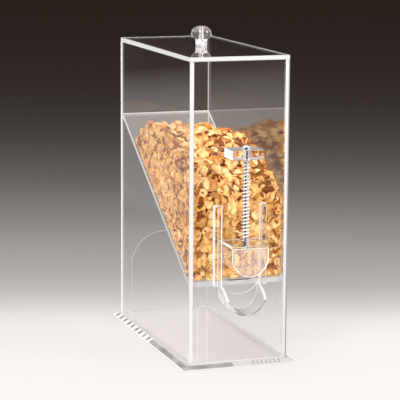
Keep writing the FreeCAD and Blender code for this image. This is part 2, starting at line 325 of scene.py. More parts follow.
class Desk(Bench):
    """The bench of a new material, which starts with one Principled shader."""

    def __init__(self, name: str, groups: Groups | None = None) -> None:
        """Start the material.

        Args:
            name: The material's name.
            groups: The shared groups, where it uses them.
        """
        self.material = bpy.data.materials.new(name)
        self.material.use_nodes = True
        self.material.node_tree.nodes.clear()
        super().__init__(self.material.node_tree)
        self.groups = groups
        self.shader = self.add("ShaderNodeBsdfPrincipled")
        self.output = self.add("ShaderNodeOutputMaterial")
        self.feed(self.output.inputs["Surface"], self.shader.outputs[0])

    def paint(self, values: dict[str, object]) -> None:
        """Feed the shader's inputs by name."""
        self.feed_all(self.shader, values)

    def shared(self, tree: bpy.types.NodeTree, **values: float) -> dict[str, Socket]:
        """Place a shared group, feed its inputs by name and give its outputs by name."""
        node = self.feed_all(self.add("ShaderNodeGroup", node_tree=tree), values)
        return {socket.name: socket for socket in node.outputs}

    def wear(self, scale: float, least: float, most: float) -> None:
        """Let wiping marks of a scale set the roughness, from the least to the most."""
        marks = self.shared(self.groups.wear, Scale=scale, Least=least, Most=most)
        self.paint({"Roughness": marks["Roughness"]})

    def glow(self, colour: object) -> None:
        """Let the surface show a light of its own that isn't sampled as a lamp."""
        self.paint({"Emission Color": colour, "Emission Strength": 1.0})
        self.material.cycles.emission_sampling = "NONE"

    def swap(self, share: Socket, other: Socket) -> None:
        """Show another shader by a share."""
        both = self.join("ShaderNodeMixShader", share, self.shader.outputs[0], other)
        self.feed(self.output.inputs["Surface"], both)


# --- Finishes -------------------------------------------------------------------------------------------


class Finish:
    """A finish, whose fields say how it looks and whose fill method lays its nodes."""

    name: str

    def build(self, groups: Groups) -> Material:
        """Make the material.

        Args:
            groups: The shared groups.

        Returns:
            The material.
        """
        desk = Desk(self.name, groups)
        self.fill(desk)
        return desk.material

    def fill(self, desk: Desk) -> None:
        """Lay the finish's nodes on a new material's desk."""
        raise NotImplementedError


@dataclass(frozen=True)
class ClearAcrylic(Finish):
    """Solid clear sheet that bends what is seen through it and lets lamps through."""

    name: str
    tint: Colour = (0.985, 0.985, 0.98)
    passed: Colour = (0.96, 0.96, 0.96)
    bend: float = 1.49
    haze: float = 0.0
    marks: tuple[float, float, float] = (45.0, 0.0, 0.012)

    def fill(self, desk: Desk) -> None:
        """Lay a glass that shadow and diffuse rays pass as plain air.

        Args:
            desk: The new material's desk.
        """
        desk.wear(*self.marks)
        desk.paint({"Base Color": rgba(self.tint), "IOR": self.bend, "Transmission Weight": 1.0 - self.haze})
        through = desk.join("ShaderNodeBsdfTransparent", rgba(self.passed))
        desk.swap(desk.rays("Is Shadow Ray", "Is Diffuse Ray"), through)


@dataclass(frozen=True)
class GlowingEdge(Finish):
    """The cut edge of a clear sheet, shown white by a painted glow that stands for the light the whole sheet
    gathers.
    """

    name: str
    # outward and inward are the painted glow seen from outside and through the sheet
    outward: Colour
    inward: Colour
    body: Colour = (0.3, 0.296, 0.292)
    foot_share: float = 1.0
    far_share: float = 1.0
    foot: float = 120 * MM
    head: float = 360 * MM
    far: float = 67.8 * MM
    far_soft: float = 0.8 * MM
    marks: tuple[float, float, float] = (160.0, 0.25, 0.5)

    def fill(self, desk: Desk) -> None:
        """Lay an edge with a painted glow, one level seen from outside and another seen through the sheet.

        Args:
            desk: The new material's desk.
        """
        desk.wear(*self.marks)
        desk.paint({"Base Color": rgba(self.body)})
        side = desk.add("ShaderNodeNewGeometry").outputs["Backfacing"]
        seen = desk.mix(side, rgba(self.outward), rgba(self.inward))
        desk.glow(desk.mix(desk.rays("Is Diffuse Ray"), seen, rgba((0.0, 0.0, 0.0))))
        if self.foot_share < 1.0:
            share = self._share(desk)
            body = desk.mix(1.0, rgba(self.body), share, "MULTIPLY")
            desk.paint({"Base Color": body, "Emission Strength": share})

    def _share(self, desk: Desk) -> Socket:
        """How much of its painted glow an upright edge keeps towards its foot and its outer side.

        Args:
            desk: The material's desk.

        Returns:
            The share.
        """
        x, _, z = desk.split(desk.here())
        rising = desk.range(z, self.foot, self.head, self.foot_share, 1.0)
        return desk.times(rising, desk.range(x, self.far, self.far + self.far_soft, 1.0, self.far_share))


@dataclass(frozen=True)
class BaseFacets(Finish):
    """The milled bevel round the base, with its refraction painted on: rungs and dark bands of painted light
    and shade.
    """

    name: str = "Base bevel"
    marks: tuple[float, float, float] = (90.0, 0.15, 0.4)
    # The pale, grey and lit colours are painted light and shade: the bevel's refraction of the studio, and a
    # painted glow.
    side_pale: Colour = (0.54, 0.535, 0.53)
    end_pale: Colour = (0.35, 0.34, 0.335)
    grey: Colour = (0.16, 0.153, 0.148)
    side_lit: Colour = (0.3, 0.3, 0.3)
    end_lit: Colour = (0.12, 0.12, 0.12)
    rung_pitch: float = 19 * MM
    rung_share: float = 0.46
    rung_wander: float = 6 * MM
    rung_noise: float = 70.0
    rungs_begin: Span = (-25 * MM, -5 * MM)
    tick_pitch: float = 6.2 * MM
    tick_share: float = 0.3
    tick_span: Span = (17 * MM, 60 * MM)
    bar_span: Span = (-78 * MM, -9 * MM)
    side_edge: float = 72.5 * MM
    side_band: Span = (0.6 * MM, 7.0 * MM)
    end_edge: float = 161.5 * MM
    end_band: Span = (0.8 * MM, 7.0 * MM)
    mitre_line: Span = (1.8 * MM, 1.0 * MM)
    cloud: Ramp = (0.3, 0.7, 0.55, 1.0)
    cloud_noise: float = 38.0

    def fill(self, desk: Desk) -> None:
        """Lay painted refraction: rungs along the sides, a bar and ticks along the ends, a dark front left
        mitre, and a painted glow.

        Args:
            desk: The new material's desk.
        """
        desk.wear(*self.marks)
        place = desk.here()
        x, y, _ = desk.split(place)
        side_out = desk.minus(desk.sum("ABSOLUTE", x), self.side_edge)
        end_out = desk.minus(desk.sum("ABSOLUTE", y), self.end_edge)
        along = desk.plus(y, desk.times(desk.noise(self.rung_noise, 2.0, place), self.rung_wander))
        rungs = self._bars(desk, along, self.rung_pitch, self.rung_share)
        rungs = desk.mix(desk.mask(y, *self.rungs_begin), (1.0,) * 4, rungs)
        side_dark = desk.times(rungs, self._between(desk, side_out, *self.side_band))
        ticks = self._bars(desk, x, self.tick_pitch, self.tick_share)
        ticks = desk.times(ticks, self._between(desk, x, *self.tick_span))
        bars = desk.highest(self._between(desk, x, *self.bar_span), ticks)
        end_dark = desk.times(bars, self._between(desk, end_out, *self.end_band))
        past = desk.minus(end_out, side_out)
        on_end = desk.sum("GREATER_THAN", past, 0.0)
        front_left = desk.times(desk.sum("LESS_THAN", x, 0.0), desk.sum("LESS_THAN", y, 0.0))
        mitre = desk.times(desk.mask(desk.sum("ABSOLUTE", past), *self.mitre_line), front_left)
        dark = desk.highest(desk.mix(on_end, side_dark, end_dark), mitre)
        shade = desk.times(dark, desk.range(desk.noise(self.cloud_noise, 3.0, place), *self.cloud))
        pale = desk.mix(on_end, rgba(self.side_pale), rgba(self.end_pale))
        lit = desk.mix(on_end, rgba(self.side_lit), rgba(self.end_lit))
        desk.paint({"Base Color": desk.mix(shade, pale, rgba(self.grey))})
        desk.glow(desk.mix(shade, lit, rgba(DARK)))

    @staticmethod
    def _between(desk: Desk, value: object, low: float, high: float, soft: float = 0.7 * MM) -> Socket:
        """A mask that is 1 between two values, with soft ends."""
        rise = desk.mask(value, low - soft, low + soft)
        return desk.times(rise, desk.mask(value, high + soft, high - soft))

    @staticmethod
    def _bars(desk: Desk, value: object, pitch: float, share: float, soft: float = 0.25) -> Socket:
        """Evenly spaced bars that cover a share of their pitch, with soft ends."""
        edge = math.cos(math.pi * share)
        return desk.mask(desk.sum("SINE", desk.times(value, math.tau / pitch)), edge - soft, edge + soft)


@dataclass(frozen=True)
class BrightMetal(Finish):
    """Plated or drawn metal."""

    name: str
    colour: Colour
    least_roughness: float
    most_roughness: float
    wear_scale: float = 220.0

    def fill(self, desk: Desk) -> None:
        """Lay the metal with its wear on the new material's desk."""
        desk.wear(self.wear_scale, self.least_roughness, self.most_roughness)
        desk.paint({"Base Color": rgba(self.colour), "Metallic": 1.0})


@dataclass(frozen=True)
class GlowingNeck(Finish):
    """A turned clear neck, hazy white with a painted glow, and dark specks that paint the screw thread seen
    through it.
    """

    name: str = "Turned neck with painted glow and thread specks"
    marks: tuple[float, float, float] = (400.0, 0.12, 0.4)
    haze: Colour = (0.58, 0.545, 0.56)
    # speck paints the screw thread seen through the neck, and lit is its painted glow
    speck: Colour = (0.22, 0.2, 0.21)
    lit: Colour = (0.3, 0.29, 0.295)
    specks: Ramp = (0.56, 0.64, 0.0, 0.9)
    speck_scale: float = 420.0
    speck_shape: tuple[float, float, float] = (1.0, 1.0, 0.6)
    bend: float = 1.49
    clear_share: float = 0.3

    def fill(self, desk: Desk) -> None:
        """Lay the haze, the painted thread specks and the painted glow.

        Args:
            desk: The new material's desk.
        """
        desk.wear(*self.marks)
        place = desk.mapped(desk.here(), self.speck_shape)
        specks = desk.range(desk.noise(self.speck_scale, 2.0, place), *self.specks)
        desk.paint({"Base Color": desk.mix(specks, rgba(self.haze), rgba(self.speck))})
        desk.paint({"IOR": self.bend, "Transmission Weight": self.clear_share})
        desk.glow(desk.mix(specks, rgba(self.lit), rgba(DARK)))


@dataclass(frozen=True)
class ToastedFlake(Finish):
    """Baked golden flakes, paler in the middle and browner where they caught the heat, with a rim darkened
    both by toasting and by painted shade.
    """

    name: str = "Toasted flake"
    pale: Colour = (0.99, 0.68, 0.31)
    golden: Colour = (0.95, 0.52, 0.15)
    toasted: Colour = (0.52, 0.145, 0.01)
    deep: Colour = (0.24, 0.048, 0.002)
    grain: float = 170.0
    patches: Ramp = (0.54, 0.72, 0.0, 0.4)
    rim_toast_and_shade: float = 0.65
    relief: float = 0.8 * MM
    relief_strength: float = 0.7
    roughness: float = 0.6
    sheen: float = 0.08

    def fill(self, desk: Desk) -> None:
        """Lay the bake: pale to golden by the flake, toasted in patches, darker at the rim by toasting and
        painted shade, and deep in painted shade past a tone of 1.

        Args:
            desk: The new material's desk.
        """
        grain = desk.shared(desk.groups.grain, Scale=self.grain)
        tone = desk.add("ShaderNodeAttribute", attribute_name=Flake.TONE).outputs["Fac"]
        rim = desk.add("ShaderNodeAttribute", attribute_name=Flake.RIM).outputs["Fac"]
        ground = desk.mix(desk.mask(tone, 0.0, 1.0), rgba(self.pale), rgba(self.golden))
        patches = desk.range(grain["Value"], *self.patches)
        browned = desk.sum("ADD", patches, desk.times(rim, self.rim_toast_and_shade), clamp=True)
        surface = desk.mix(browned, ground, rgba(self.toasted))
        desk.paint({"Base Color": desk.mix(desk.mask(tone, 1.0, 2.0), surface, rgba(self.deep))})
        bump = {"Strength": self.relief_strength, "Distance": self.relief, "Height": grain["Height"]}
        normal = desk.feed_all(desk.add("ShaderNodeBump"), bump).outputs[0]
        desk.paint({"Roughness": self.roughness, "Specular IOR Level": self.sheen, "Normal": normal})


@dataclass(frozen=True)
class DeepFlakes(Finish):
    """The shaded mass of flakes behind the ones that show."""

    name: str = "Flakes in shade"
    colour: Colour = (0.34, 0.12, 0.022)
    deep: Colour = (0.12, 0.035, 0.006)
    grain: float = 90.0

    def fill(self, desk: Desk) -> None:
        """Lay a dull brown that the grain darkens.

        Args:
            desk: The new material's desk.
        """
        grain = desk.shared(desk.groups.grain, Scale=self.grain)
        desk.paint({"Base Color": desk.mix(grain["Value"], rgba(self.deep), rgba(self.colour))})
        desk.paint({"Roughness": 0.8, "Specular IOR Level": 0.0})


class Dress(Enum):
    """Every finish of the bin."""

    SHEET = ClearAcrylic("Clear sheet")
    BASE = ClearAcrylic("Clear base sheet", tint=(0.995, 0.985, 0.985))
    BLOCK = ClearAcrylic("Clear block", tint=(0.97, 0.97, 0.965))
    # The haze of the knob, chute, handle and hopper sheets is a white diffuse share that paints a light
    # veil; on the hopper it stands partly for dust and partly for a painted reflection.
    KNOB = ClearAcrylic("Clear turned knob", tint=(0.985, 0.96, 0.97), haze=0.035)
    CHUTE = ClearAcrylic("Clear chute", tint=(0.985, 0.98, 0.975), haze=0.07)
    VEILED_HANDLE = ClearAcrylic("Handle sheet with painted veil", tint=(0.985, 0.95, 0.93), haze=0.08)
    HOPPER = ClearAcrylic("Hopper sheet with dust and painted reflection", tint=(0.98, 0.91, 0.88), haze=0.06)
    NECK = GlowingNeck()
    # The edge finishes below paint their brightness as a glow; the far edge is a dimmer copy of the near
    # one, and the far and sawn edges dim their painted glow towards the foot.
    EDGE = GlowingEdge("Polished edge", level(0.4), level(0.8))
    FAR_EDGE = GlowingEdge("Far polished edge", level(0.48), level(0.8), foot_share=0.85, far_share=0.4)
    LID_EDGE = GlowingEdge("Lid edge", level(0.38), level(0.95))
    STRIP_EDGE = GlowingEdge("Strip edge", level(0.5), level(0.6))
    SAWN = GlowingEdge("Sawn edge", level(0.65), level(0.8), foot_share=0.6)
    SEAM = GlowingEdge("Cemented seam", (0.3, 0.28, 0.3), (0.68, 0.63, 0.67))
    # The two corner seam finishes are the shaded and the lit copy of one seam, differing only in painted
    # glow.
    CORNER = GlowingEdge("Corner seam", (0.22, 0.2, 0.21), (0.34, 0.3, 0.31))
    LIT_CORNER = GlowingEdge("Lit corner seam", level(0.6), (1.0, 0.97, 0.98))
    ARCH = GlowingEdge("Arch edge", level(0.22), level(0.3))
    FOOT = GlowingEdge("Cemented foot", level(0.3), level(0.62))
    # The base underside's inward glow paints the pale floor seen through the base.
    UNDERSIDE = GlowingEdge("Base underside", level(0.3), (0.58, 0.53, 0.515))
    BASE_EDGE = GlowingEdge("Base edge", level(0.5), level(0.6))
    RAIL_EDGE = GlowingEdge("Rail edge", level(0.55), level(0.85))
    HANDLE_EDGE = GlowingEdge("Handle edge", level(0.55), level(0.95))
    # The block end's glow paints a white glare on the block's left end; the block foot's glow paints the
    # light line along its underside.
    BLOCK_END = GlowingEdge("Block end", level(0.6), level(0.5))
    BLOCK_FOOT = GlowingEdge("Block foot", level(0.2), (0.3, 0.26, 0.24))
    BEVEL = BaseFacets()
    CHROME = BrightMetal("Bright plating", (0.9, 0.9, 0.92), 0.04, 0.12)
    WIRE = BrightMetal("Spring wire", (0.97, 0.97, 0.98), 0.4, 0.55)
    FLAKE = ToastedFlake()
    CORE = DeepFlakes()


Marks = Sequence[tuple[FaceTest, Dress]]


# --- Modelling ------------------------------------------------------------------------------------------


class Pen:
    """Draws an outline as joined edges, by lines and arcs."""

    def __init__(self, mesh: Mesh, start: Sequence[float], axis: Vector) -> None:
        """Put the pen down.

        Args:
            mesh: The mesh that the edges go into.
            start: The first point.
            axis: The axis that arcs turn about.
        """
        self.mesh = mesh
        self.axis = axis
        self.first = mesh.verts.new(start)
        self.tip = self.first

    def to(self, *points: Sequence[float]) -> "Pen":
        """Draw straight edges from point to point.

        Args:
            points: Where each edge ends.

        Returns:
            The pen.
        """
        for point in points:
            self.tip = bmesh.ops.extrude_vert_indiv(self.mesh, verts=[self.tip])["verts"][0]
            self.tip.co = point
        return self

    def arc(self, centre: Sequence[float], degrees: float, steps: int) -> "Pen":
        """Draw an arc about a centre.

        Args:
            centre: The arc's centre.
            degrees: How far it turns about the pen's axis.
            steps: How many edges it has.

        Returns:
            The pen.
        """
        made = bmesh.ops.spin(
            self.mesh, geom=[self.tip], cent=centre, axis=self.axis, angle=math.radians(degrees), steps=steps
        )
        self.tip = points_of(made["geom_last"])[0]
        return self

    def close(self) -> None:
        """Join the last point to the first."""
        self.mesh.edges.new((self.tip, self.first))


def points_of(geometry: Iterable[object]) -> list[bmesh.types.BMVert]:
    """The vertices in what an operator made."""
    return [item for item in geometry if isinstance(item, bmesh.types.BMVert)]


def face_out(mesh: Mesh) -> None:
    """Point every face of a closed mesh outwards."""
    bmesh.ops.recalc_face_normals(mesh, faces=mesh.faces[:])


def close_holes(mesh: Mesh) -> None:
    """Fill every hole of a mesh with one face."""
    bmesh.ops.holes_fill(mesh, edges=[e for e in mesh.edges if e.is_boundary], sides=0)


def cut(mesh: Mesh, place: Sequence[float], across: Vector, clear: bool = False) -> None:
    """Cut a mesh by a plane, and clear what lies beyond it if wanted."""
    every = mesh.verts[:] + mesh.edges[:] + mesh.faces[:]
    bmesh.ops.bisect_plane(mesh, geom=every, plane_co=place, plane_no=across, clear_outer=clear, dist=CUT)


def raise_solid(mesh: Mesh, along: Sequence[float], holed: bool = False) -> None:
    """Fill the outline in a mesh and raise it to a closed solid.

    Args:
        mesh: The mesh, which holds edges only.
        along: How far and which way the outline is raised.
        holed: True if an outline inside the first is a hole.
    """
    if holed:
        bmesh.ops.triangle_fill(mesh, use_beauty=True, edges=mesh.edges[:])
    else:
        bmesh.ops.contextual_create(mesh, geom=mesh.edges[:])
    made = bmesh.ops.extrude_face_region(mesh, geom=mesh.faces[:], use_normal_flip=True)
    bmesh.ops.translate(mesh, vec=along, verts=points_of(made["geom"]))
    face_out(mesh)


def turn_solid(mesh: Mesh, centre: Sequence[float], steps: int) -> None:
    """Turn a drawn profile about an upright axis to a closed solid.

    Args:
        mesh: The mesh, which holds the profile's edges.
        centre: A point on the axis.
        steps: How many steps the full turn has.
    """
    bmesh.ops.spin(
        mesh, geom=mesh.verts[:] + mesh.edges[:], cent=centre, axis=Z_AXIS, angle=math.tau, steps=steps,
        use_merge=True,
    )
    bmesh.ops.remove_doubles(mesh, verts=mesh.verts[:], dist=MERGE)
    face_out(mesh)


def rod_middle() -> Vector:
    """The middle of the guide rod."""
    low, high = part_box("guide_rod")
    return (low + high) / 2


def inner_box(node: str) -> tuple[Vector, Vector]:
    """A CAD node's lowest and highest corners, drawn in by the glue line."""
    low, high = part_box(node)
    return low + Vector((GLUE_LINE,) * 3), high - Vector((GLUE_LINE,) * 3)


def block_between(low: Vector, high: Vector) -> Mesh:
    """A box between two corners, drawn in by the glue line.

    Args:
        low: The lowest corner.
        high: The highest corner.

    Returns:
        The mesh.
    """
    mesh = bmesh.new()
    size = high - low - Vector((2 * GLUE_LINE,) * 3)
    place = Matrix.Translation((low + high) / 2) @ Matrix.Diagonal((*size, 1.0))
    bmesh.ops.create_cube(mesh, size=1.0, matrix=place)
    return mesh


def drilled_plate(low: Vector, high: Vector, hole: float, sides: int) -> Mesh:
    """A level plate with a round hole for the rod.

    Args:
        low: Its lowest corner.
        high: Its highest corner.
        hole: The hole's radius.
        sides: How many sides the hole has.

    Returns:
        The mesh.
    """
    mesh = bmesh.new()
    z = low.z
    Pen(mesh, low, Z_AXIS).to((high.x, low.y, z), (high.x, high.y, z), (low.x, high.y, z)).close()
    place = Matrix.Translation((0, rod_middle().y, z))
    bmesh.ops.create_circle(mesh, segments=sides, radius=hole, matrix=place)
    raise_solid(mesh, (0, 0, high.z - z), holed=True)
    return mesh


def u_solid(low: Vector, high: Vector, wall: float, steps: int = 40) -> Mesh:
    """A U-shaped strip, or a plate with a half-round lower end, that faces the front.

    Args:
        low: Its lowest corner.
        high: Its highest corner.
        wall: The strip's thickness, or 0 for a plate.
        steps: How many edges each half circle has.

    Returns:
        The mesh.
    """
    mesh = bmesh.new()
    half, y, top = high.x, low.y, high.z
    centre = Vector((0, y, low.z + half))
    pen = Pen(mesh, (half, y, top), Y_AXIS)
    pen.to((half, y, centre.z)).arc(centre, 180, steps).to((-half, y, top))
    if wall > 0:
        inside = half - wall
        pen.to((-inside, y, top), (-inside, y, centre.z))
        pen.axis = -Y_AXIS
        pen.arc(centre, 180, steps).to((inside, y, top))
    pen.close()
    raise_solid(mesh, (0, high.y - y, 0))
    return mesh


def ease(mesh: Mesh, width: float, segments: int, angle: float) -> None:
    """Bevel every edge that turns by more than an angle.

    Args:
        mesh: The mesh.
        width: The bevel's width.
        segments: How many faces it has.
        angle: The least turn, in degrees.
    """
    least = math.radians(angle)
    sharp = [e for e in mesh.edges if e.is_manifold and e.calc_face_angle(0.0) > least]
    bmesh.ops.bevel(
        mesh, geom=sharp, offset=width, offset_type="OFFSET", segments=segments, profile=0.5,
        affect="EDGES", material=-1, clamp_overlap=True,
    )


def mark_faces(mesh: Mesh, tests: Sequence[FaceTest]) -> None:
    """Give the faces that pass a test the material after the piece's own, in the tests' order.

    Args:
        mesh: The mesh.
        tests: The tests, of which the first that passes counts.
    """
    mesh.normal_update()
    for face in mesh.faces:
        face.material_index = next((number for number, test in enumerate(tests, 1) if test(face)), 0)


def along_axis(axis: Vector, limit: float = 0.9) -> FaceTest:
    """A test for faces that look along an axis, either way, by the least cosine that counts."""
    return lambda face: abs(face.normal.dot(axis)) > limit


def towards(axis: Vector, limit: float = 0.9) -> FaceTest:
    """A test for faces that look one way, by the least cosine that counts."""
    return lambda face: face.normal.dot(axis) > limit


def off_axis(axis: Vector, limit: float = 0.97) -> FaceTest:
    """A test for faces that don't look along a sheet's thin axis, by the least cosine that does."""
    return lambda face: abs(face.normal.dot(axis)) < limit


class Workshop:
    """Turns meshes into finished pieces that ride on a body."""

    def __init__(self, nodes: dict[str, bpy.types.Object]) -> None:
        """Make every finish, and keep the CAD nodes by name.

        Args:
            nodes: The CAD nodes.
        """
        groups = Groups()
        self.nodes = nodes
        self.finishes = {dress: dress.value.build(groups) for dress in Dress}

    def deliver(
        self, name: str, mesh: Mesh, body: Body, slot: Slot, dresses: Iterable[Dress],
        stands_for: Iterable[str] = (), smooth: float = 32.0,
    ) -> bpy.types.Object:
        """Make the object, ride it on its body and report it.

        Args:
            name: The piece's name.
            mesh: Its mesh, which is freed.
            body: The body that it rides on.
            slot: The record's slot of its finish; it is not used.
            dresses: Its finishes, in slot order.
            stands_for: The CAD nodes that it replaces.
            smooth: The turn past which an edge shades sharp, in degrees.

        Returns:
            The object.
        """
        data = bpy.data.meshes.new(name)
        mesh.to_mesh(data)
        mesh.free()
        data.shade_smooth()
        data.set_sharp_from_angle(angle=math.radians(smooth))
        for dress in dresses:
            data.materials.append(self.finishes[dress])
        piece = bpy.data.objects.new(name, data)
        bpy.context.scene.collection.objects.link(piece)
        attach(piece, body.value)
        if stands_for:
            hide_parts(*stands_for)
        LOG.info("%s: %d faces on %s", name, len(data.polygons), body.value)
        return piece

    def sheet(
        self, name: str, node: str, mesh: Mesh, body: Body, marks: Marks = (), arris: float = 0.25 * MM,
        clear: Dress = Dress.SHEET, segments: int = 2, angle: float = 40.0,
    ) -> None:
        """Ease and dress a clear sheet, and let its large faces rule its shading, so that they stay flat.

        Args:
            name: The piece's name.
            node: The CAD node that it replaces.
            mesh: The sheet's mesh.
            body: The body that it rides on.
            marks: Tests for its cut edges, each with the finish of the faces that pass.
            arris: The width of the eased arris.
            clear: The finish of its flat sides.
            segments: How many faces the arris has.
            angle: The least turn of an edge that is eased, in degrees.
        """
        ease(mesh, arris, segments, angle)
        mark_faces(mesh, [test for test, _ in marks])
        dresses = [clear] + [dress for _, dress in marks]
        piece = self.deliver(name, mesh, body, Slot.SHEET, dresses, [node])
        even = piece.modifiers.new("Even normals", "WEIGHTED_NORMAL")
        even.weight = 100
        even.keep_sharp = True

    def dress(self, nodes: Iterable[str], dress: Dress) -> None:
        """Give CAD nodes that stay as they are a finish.

        Args:
            nodes: The nodes' names.
            dress: The finish.
        """
        for node in nodes:
            data = self.nodes[node].data
            data.materials.clear()
            data.materials.append(self.finishes[dress])
            LOG.info("%s: dressed with %s", node, dress.value.name)


# --- Tower ----------------------------------------------------------------------------------------------


@dataclass
class Tower:
    """The four walls, the sloped hopper floor and the bevelled base."""

    shop: Workshop
    arch_steps: int = 40
    corner_steps: int = 8
    outlet_width: float = 44 * MM
    outlet_height: float = 36 * MM
    outlet_corner: float = 10 * MM
    cutout_width: float = 100 * MM
    cutout_height: float = 121 * MM
    base_bevel_width: float = 8 * MM
    base_bevel_drop: float = 4.8 * MM
    base_arris: float = 0.2 * MM
    seam_line: float = 2.2 * MM

    def build(self) -> None:
        """Build every sheet of the tower."""
        self._base()
        self._side_walls()
        self._front_wall()
        self._back_wall()
        self._hopper_floor()

    def _base(self) -> None:
        """The base plate: an upright foot, then the wide bevel up to the top face."""
        low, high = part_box("base_plate")
        mesh = block_between(low, Vector((high.x, high.y, high.z - self.base_bevel_drop)))
        top = max(mesh.faces, key=lambda face: face.calc_center_median().z)
        raised = points_of(bmesh.ops.extrude_face_region(mesh, geom=[top])["geom"])
        bmesh.ops.delete(mesh, geom=[top], context="FACES_ONLY")
        for corner in raised:
            corner.co.x -= math.copysign(self.base_bevel_width, corner.co.x)
            corner.co.y -= math.copysign(self.base_bevel_width, corner.co.y)
            corner.co.z = high.z - GLUE_LINE
        face_out(mesh)
        marks = [
            (towards(-Z_AXIS, 0.97), Dress.UNDERSIDE), (off_axis(Z_AXIS, 0.3), Dress.BASE_EDGE),
            (off_axis(Z_AXIS), Dress.BEVEL),
        ]
        self.shop.sheet(
            "base_sheet", "base_plate", mesh, Body.TOWER, marks, self.base_arris, Dress.BASE, angle=20.0
        )

    def _side_walls(self) -> None:
        """The two side walls, whose front and back edges show."""
        foot, head = (towards(-Z_AXIS), Dress.FOOT), (towards(Z_AXIS), Dress.LID_EDGE)
        for side, front, back, others in (
            ("left", Dress.EDGE, Dress.LIT_CORNER, [foot]),
            ("right", Dress.FAR_EDGE, Dress.CORNER, [foot, head]),
        ):
            node = side + "_wall"
            marks = [(towards(-Y_AXIS), front), (towards(Y_AXIS), back)] + others
            self.shop.sheet(side + "_side_sheet", node, block_between(*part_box(node)), Body.TOWER, marks)

    def _front_wall(self) -> None:
        """The front wall with its rounded outlet."""
        low, high = inner_box("front_wall")
        mesh = bmesh.new()
        y = low.y
        Pen(mesh, low, Y_AXIS).to((high.x, y, low.z), (high.x, y, high.z), (low.x, y, high.z)).close()
        half, head = self.outlet_width / 2, SILL + self.outlet_height
        inner, foot, top = half - self.outlet_corner, SILL + self.outlet_corner, head - self.outlet_corner
        pen = Pen(mesh, (inner, y, SILL), -Y_AXIS).arc((inner, y, foot), 90, self.corner_steps)
        for start, centre in (
            ((half, y, top), (inner, y, top)), ((-inner, y, head), (-inner, y, top)),
            ((-half, y, foot), (-inner, y, foot)),
        ):
            pen.to(start).arc(centre, 90, self.corner_steps)
        pen.close()
        raise_solid(mesh, (0, high.y - y, 0), holed=True)
        self.shop.sheet("front_sheet", "front_wall", mesh, Body.TOWER, [(self._foot(low.z), Dress.FOOT)])

    def _back_wall(self) -> None:
        """The back wall with its round-headed cut-out."""
        low, high = inner_box("back_wall")
        y, half = low.y, self.cutout_width / 2
        spring_line = low.z + self.cutout_height - half
        mesh = bmesh.new()
        pen = Pen(mesh, (high.x, y, high.z), Y_AXIS)
        pen.to((low.x, y, high.z), (low.x, y, low.z), (-half, y, low.z), (-half, y, spring_line))
        pen.arc((0, y, spring_line), 180, self.arch_steps).to((half, y, low.z), (high.x, y, low.z)).close()
        raise_solid(mesh, (0, high.y - y, 0))
        marks = [
            (self._foot(low.z), Dress.FOOT), (self._end(high.x), Dress.CORNER),
            (lambda face: abs(face.normal.y) < 0.5 and face.calc_center_median().z < high.z / 2, Dress.ARCH),
        ]
        self.shop.sheet("back_sheet", "back_wall", mesh, Body.TOWER, marks)

    @staticmethod
    def _foot(low: float) -> FaceTest:
        """A test for the face that a wall stands on."""
        return lambda face: face.normal.z < -0.9 and face.calc_center_median().z < low + MM

    @staticmethod
    def _end(reach: float) -> FaceTest:
        """A test for the two ends of a wall that stands between the side walls."""
        return lambda face: abs(face.normal.x) > 0.9 and abs(face.calc_center_median().x) > reach - MM

    def _hopper_floor(self) -> None:
        """The sloped floor, sheared from a level sheet, with its edges cut upright."""
        low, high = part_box("hopper_floor")
        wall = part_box("front_wall")[1].y
        mesh = block_between(low, Vector((high.x, high.y, SILL)))
        for vert in mesh.verts:
            vert.co.z += (high.z - SILL) * (vert.co.y - wall) / (high.y - low.y)
        line = high.z - self.seam_line
        cut(mesh, (0, 0, line), Z_AXIS)
        rear = towards(Y_AXIS)
        marks = [
            (along_axis(X_AXIS), Dress.SAWN), (towards(-Y_AXIS), Dress.SEAM),
            (lambda face: rear(face) and face.calc_center_median().z > line, Dress.SEAM),
        ]
        self.shop.sheet("hopper_sheet", "hopper_floor", mesh, Body.TOWER, marks, clear=Dress.HOPPER)


# --- Lid ------------------------------------------------------------------------------------------------


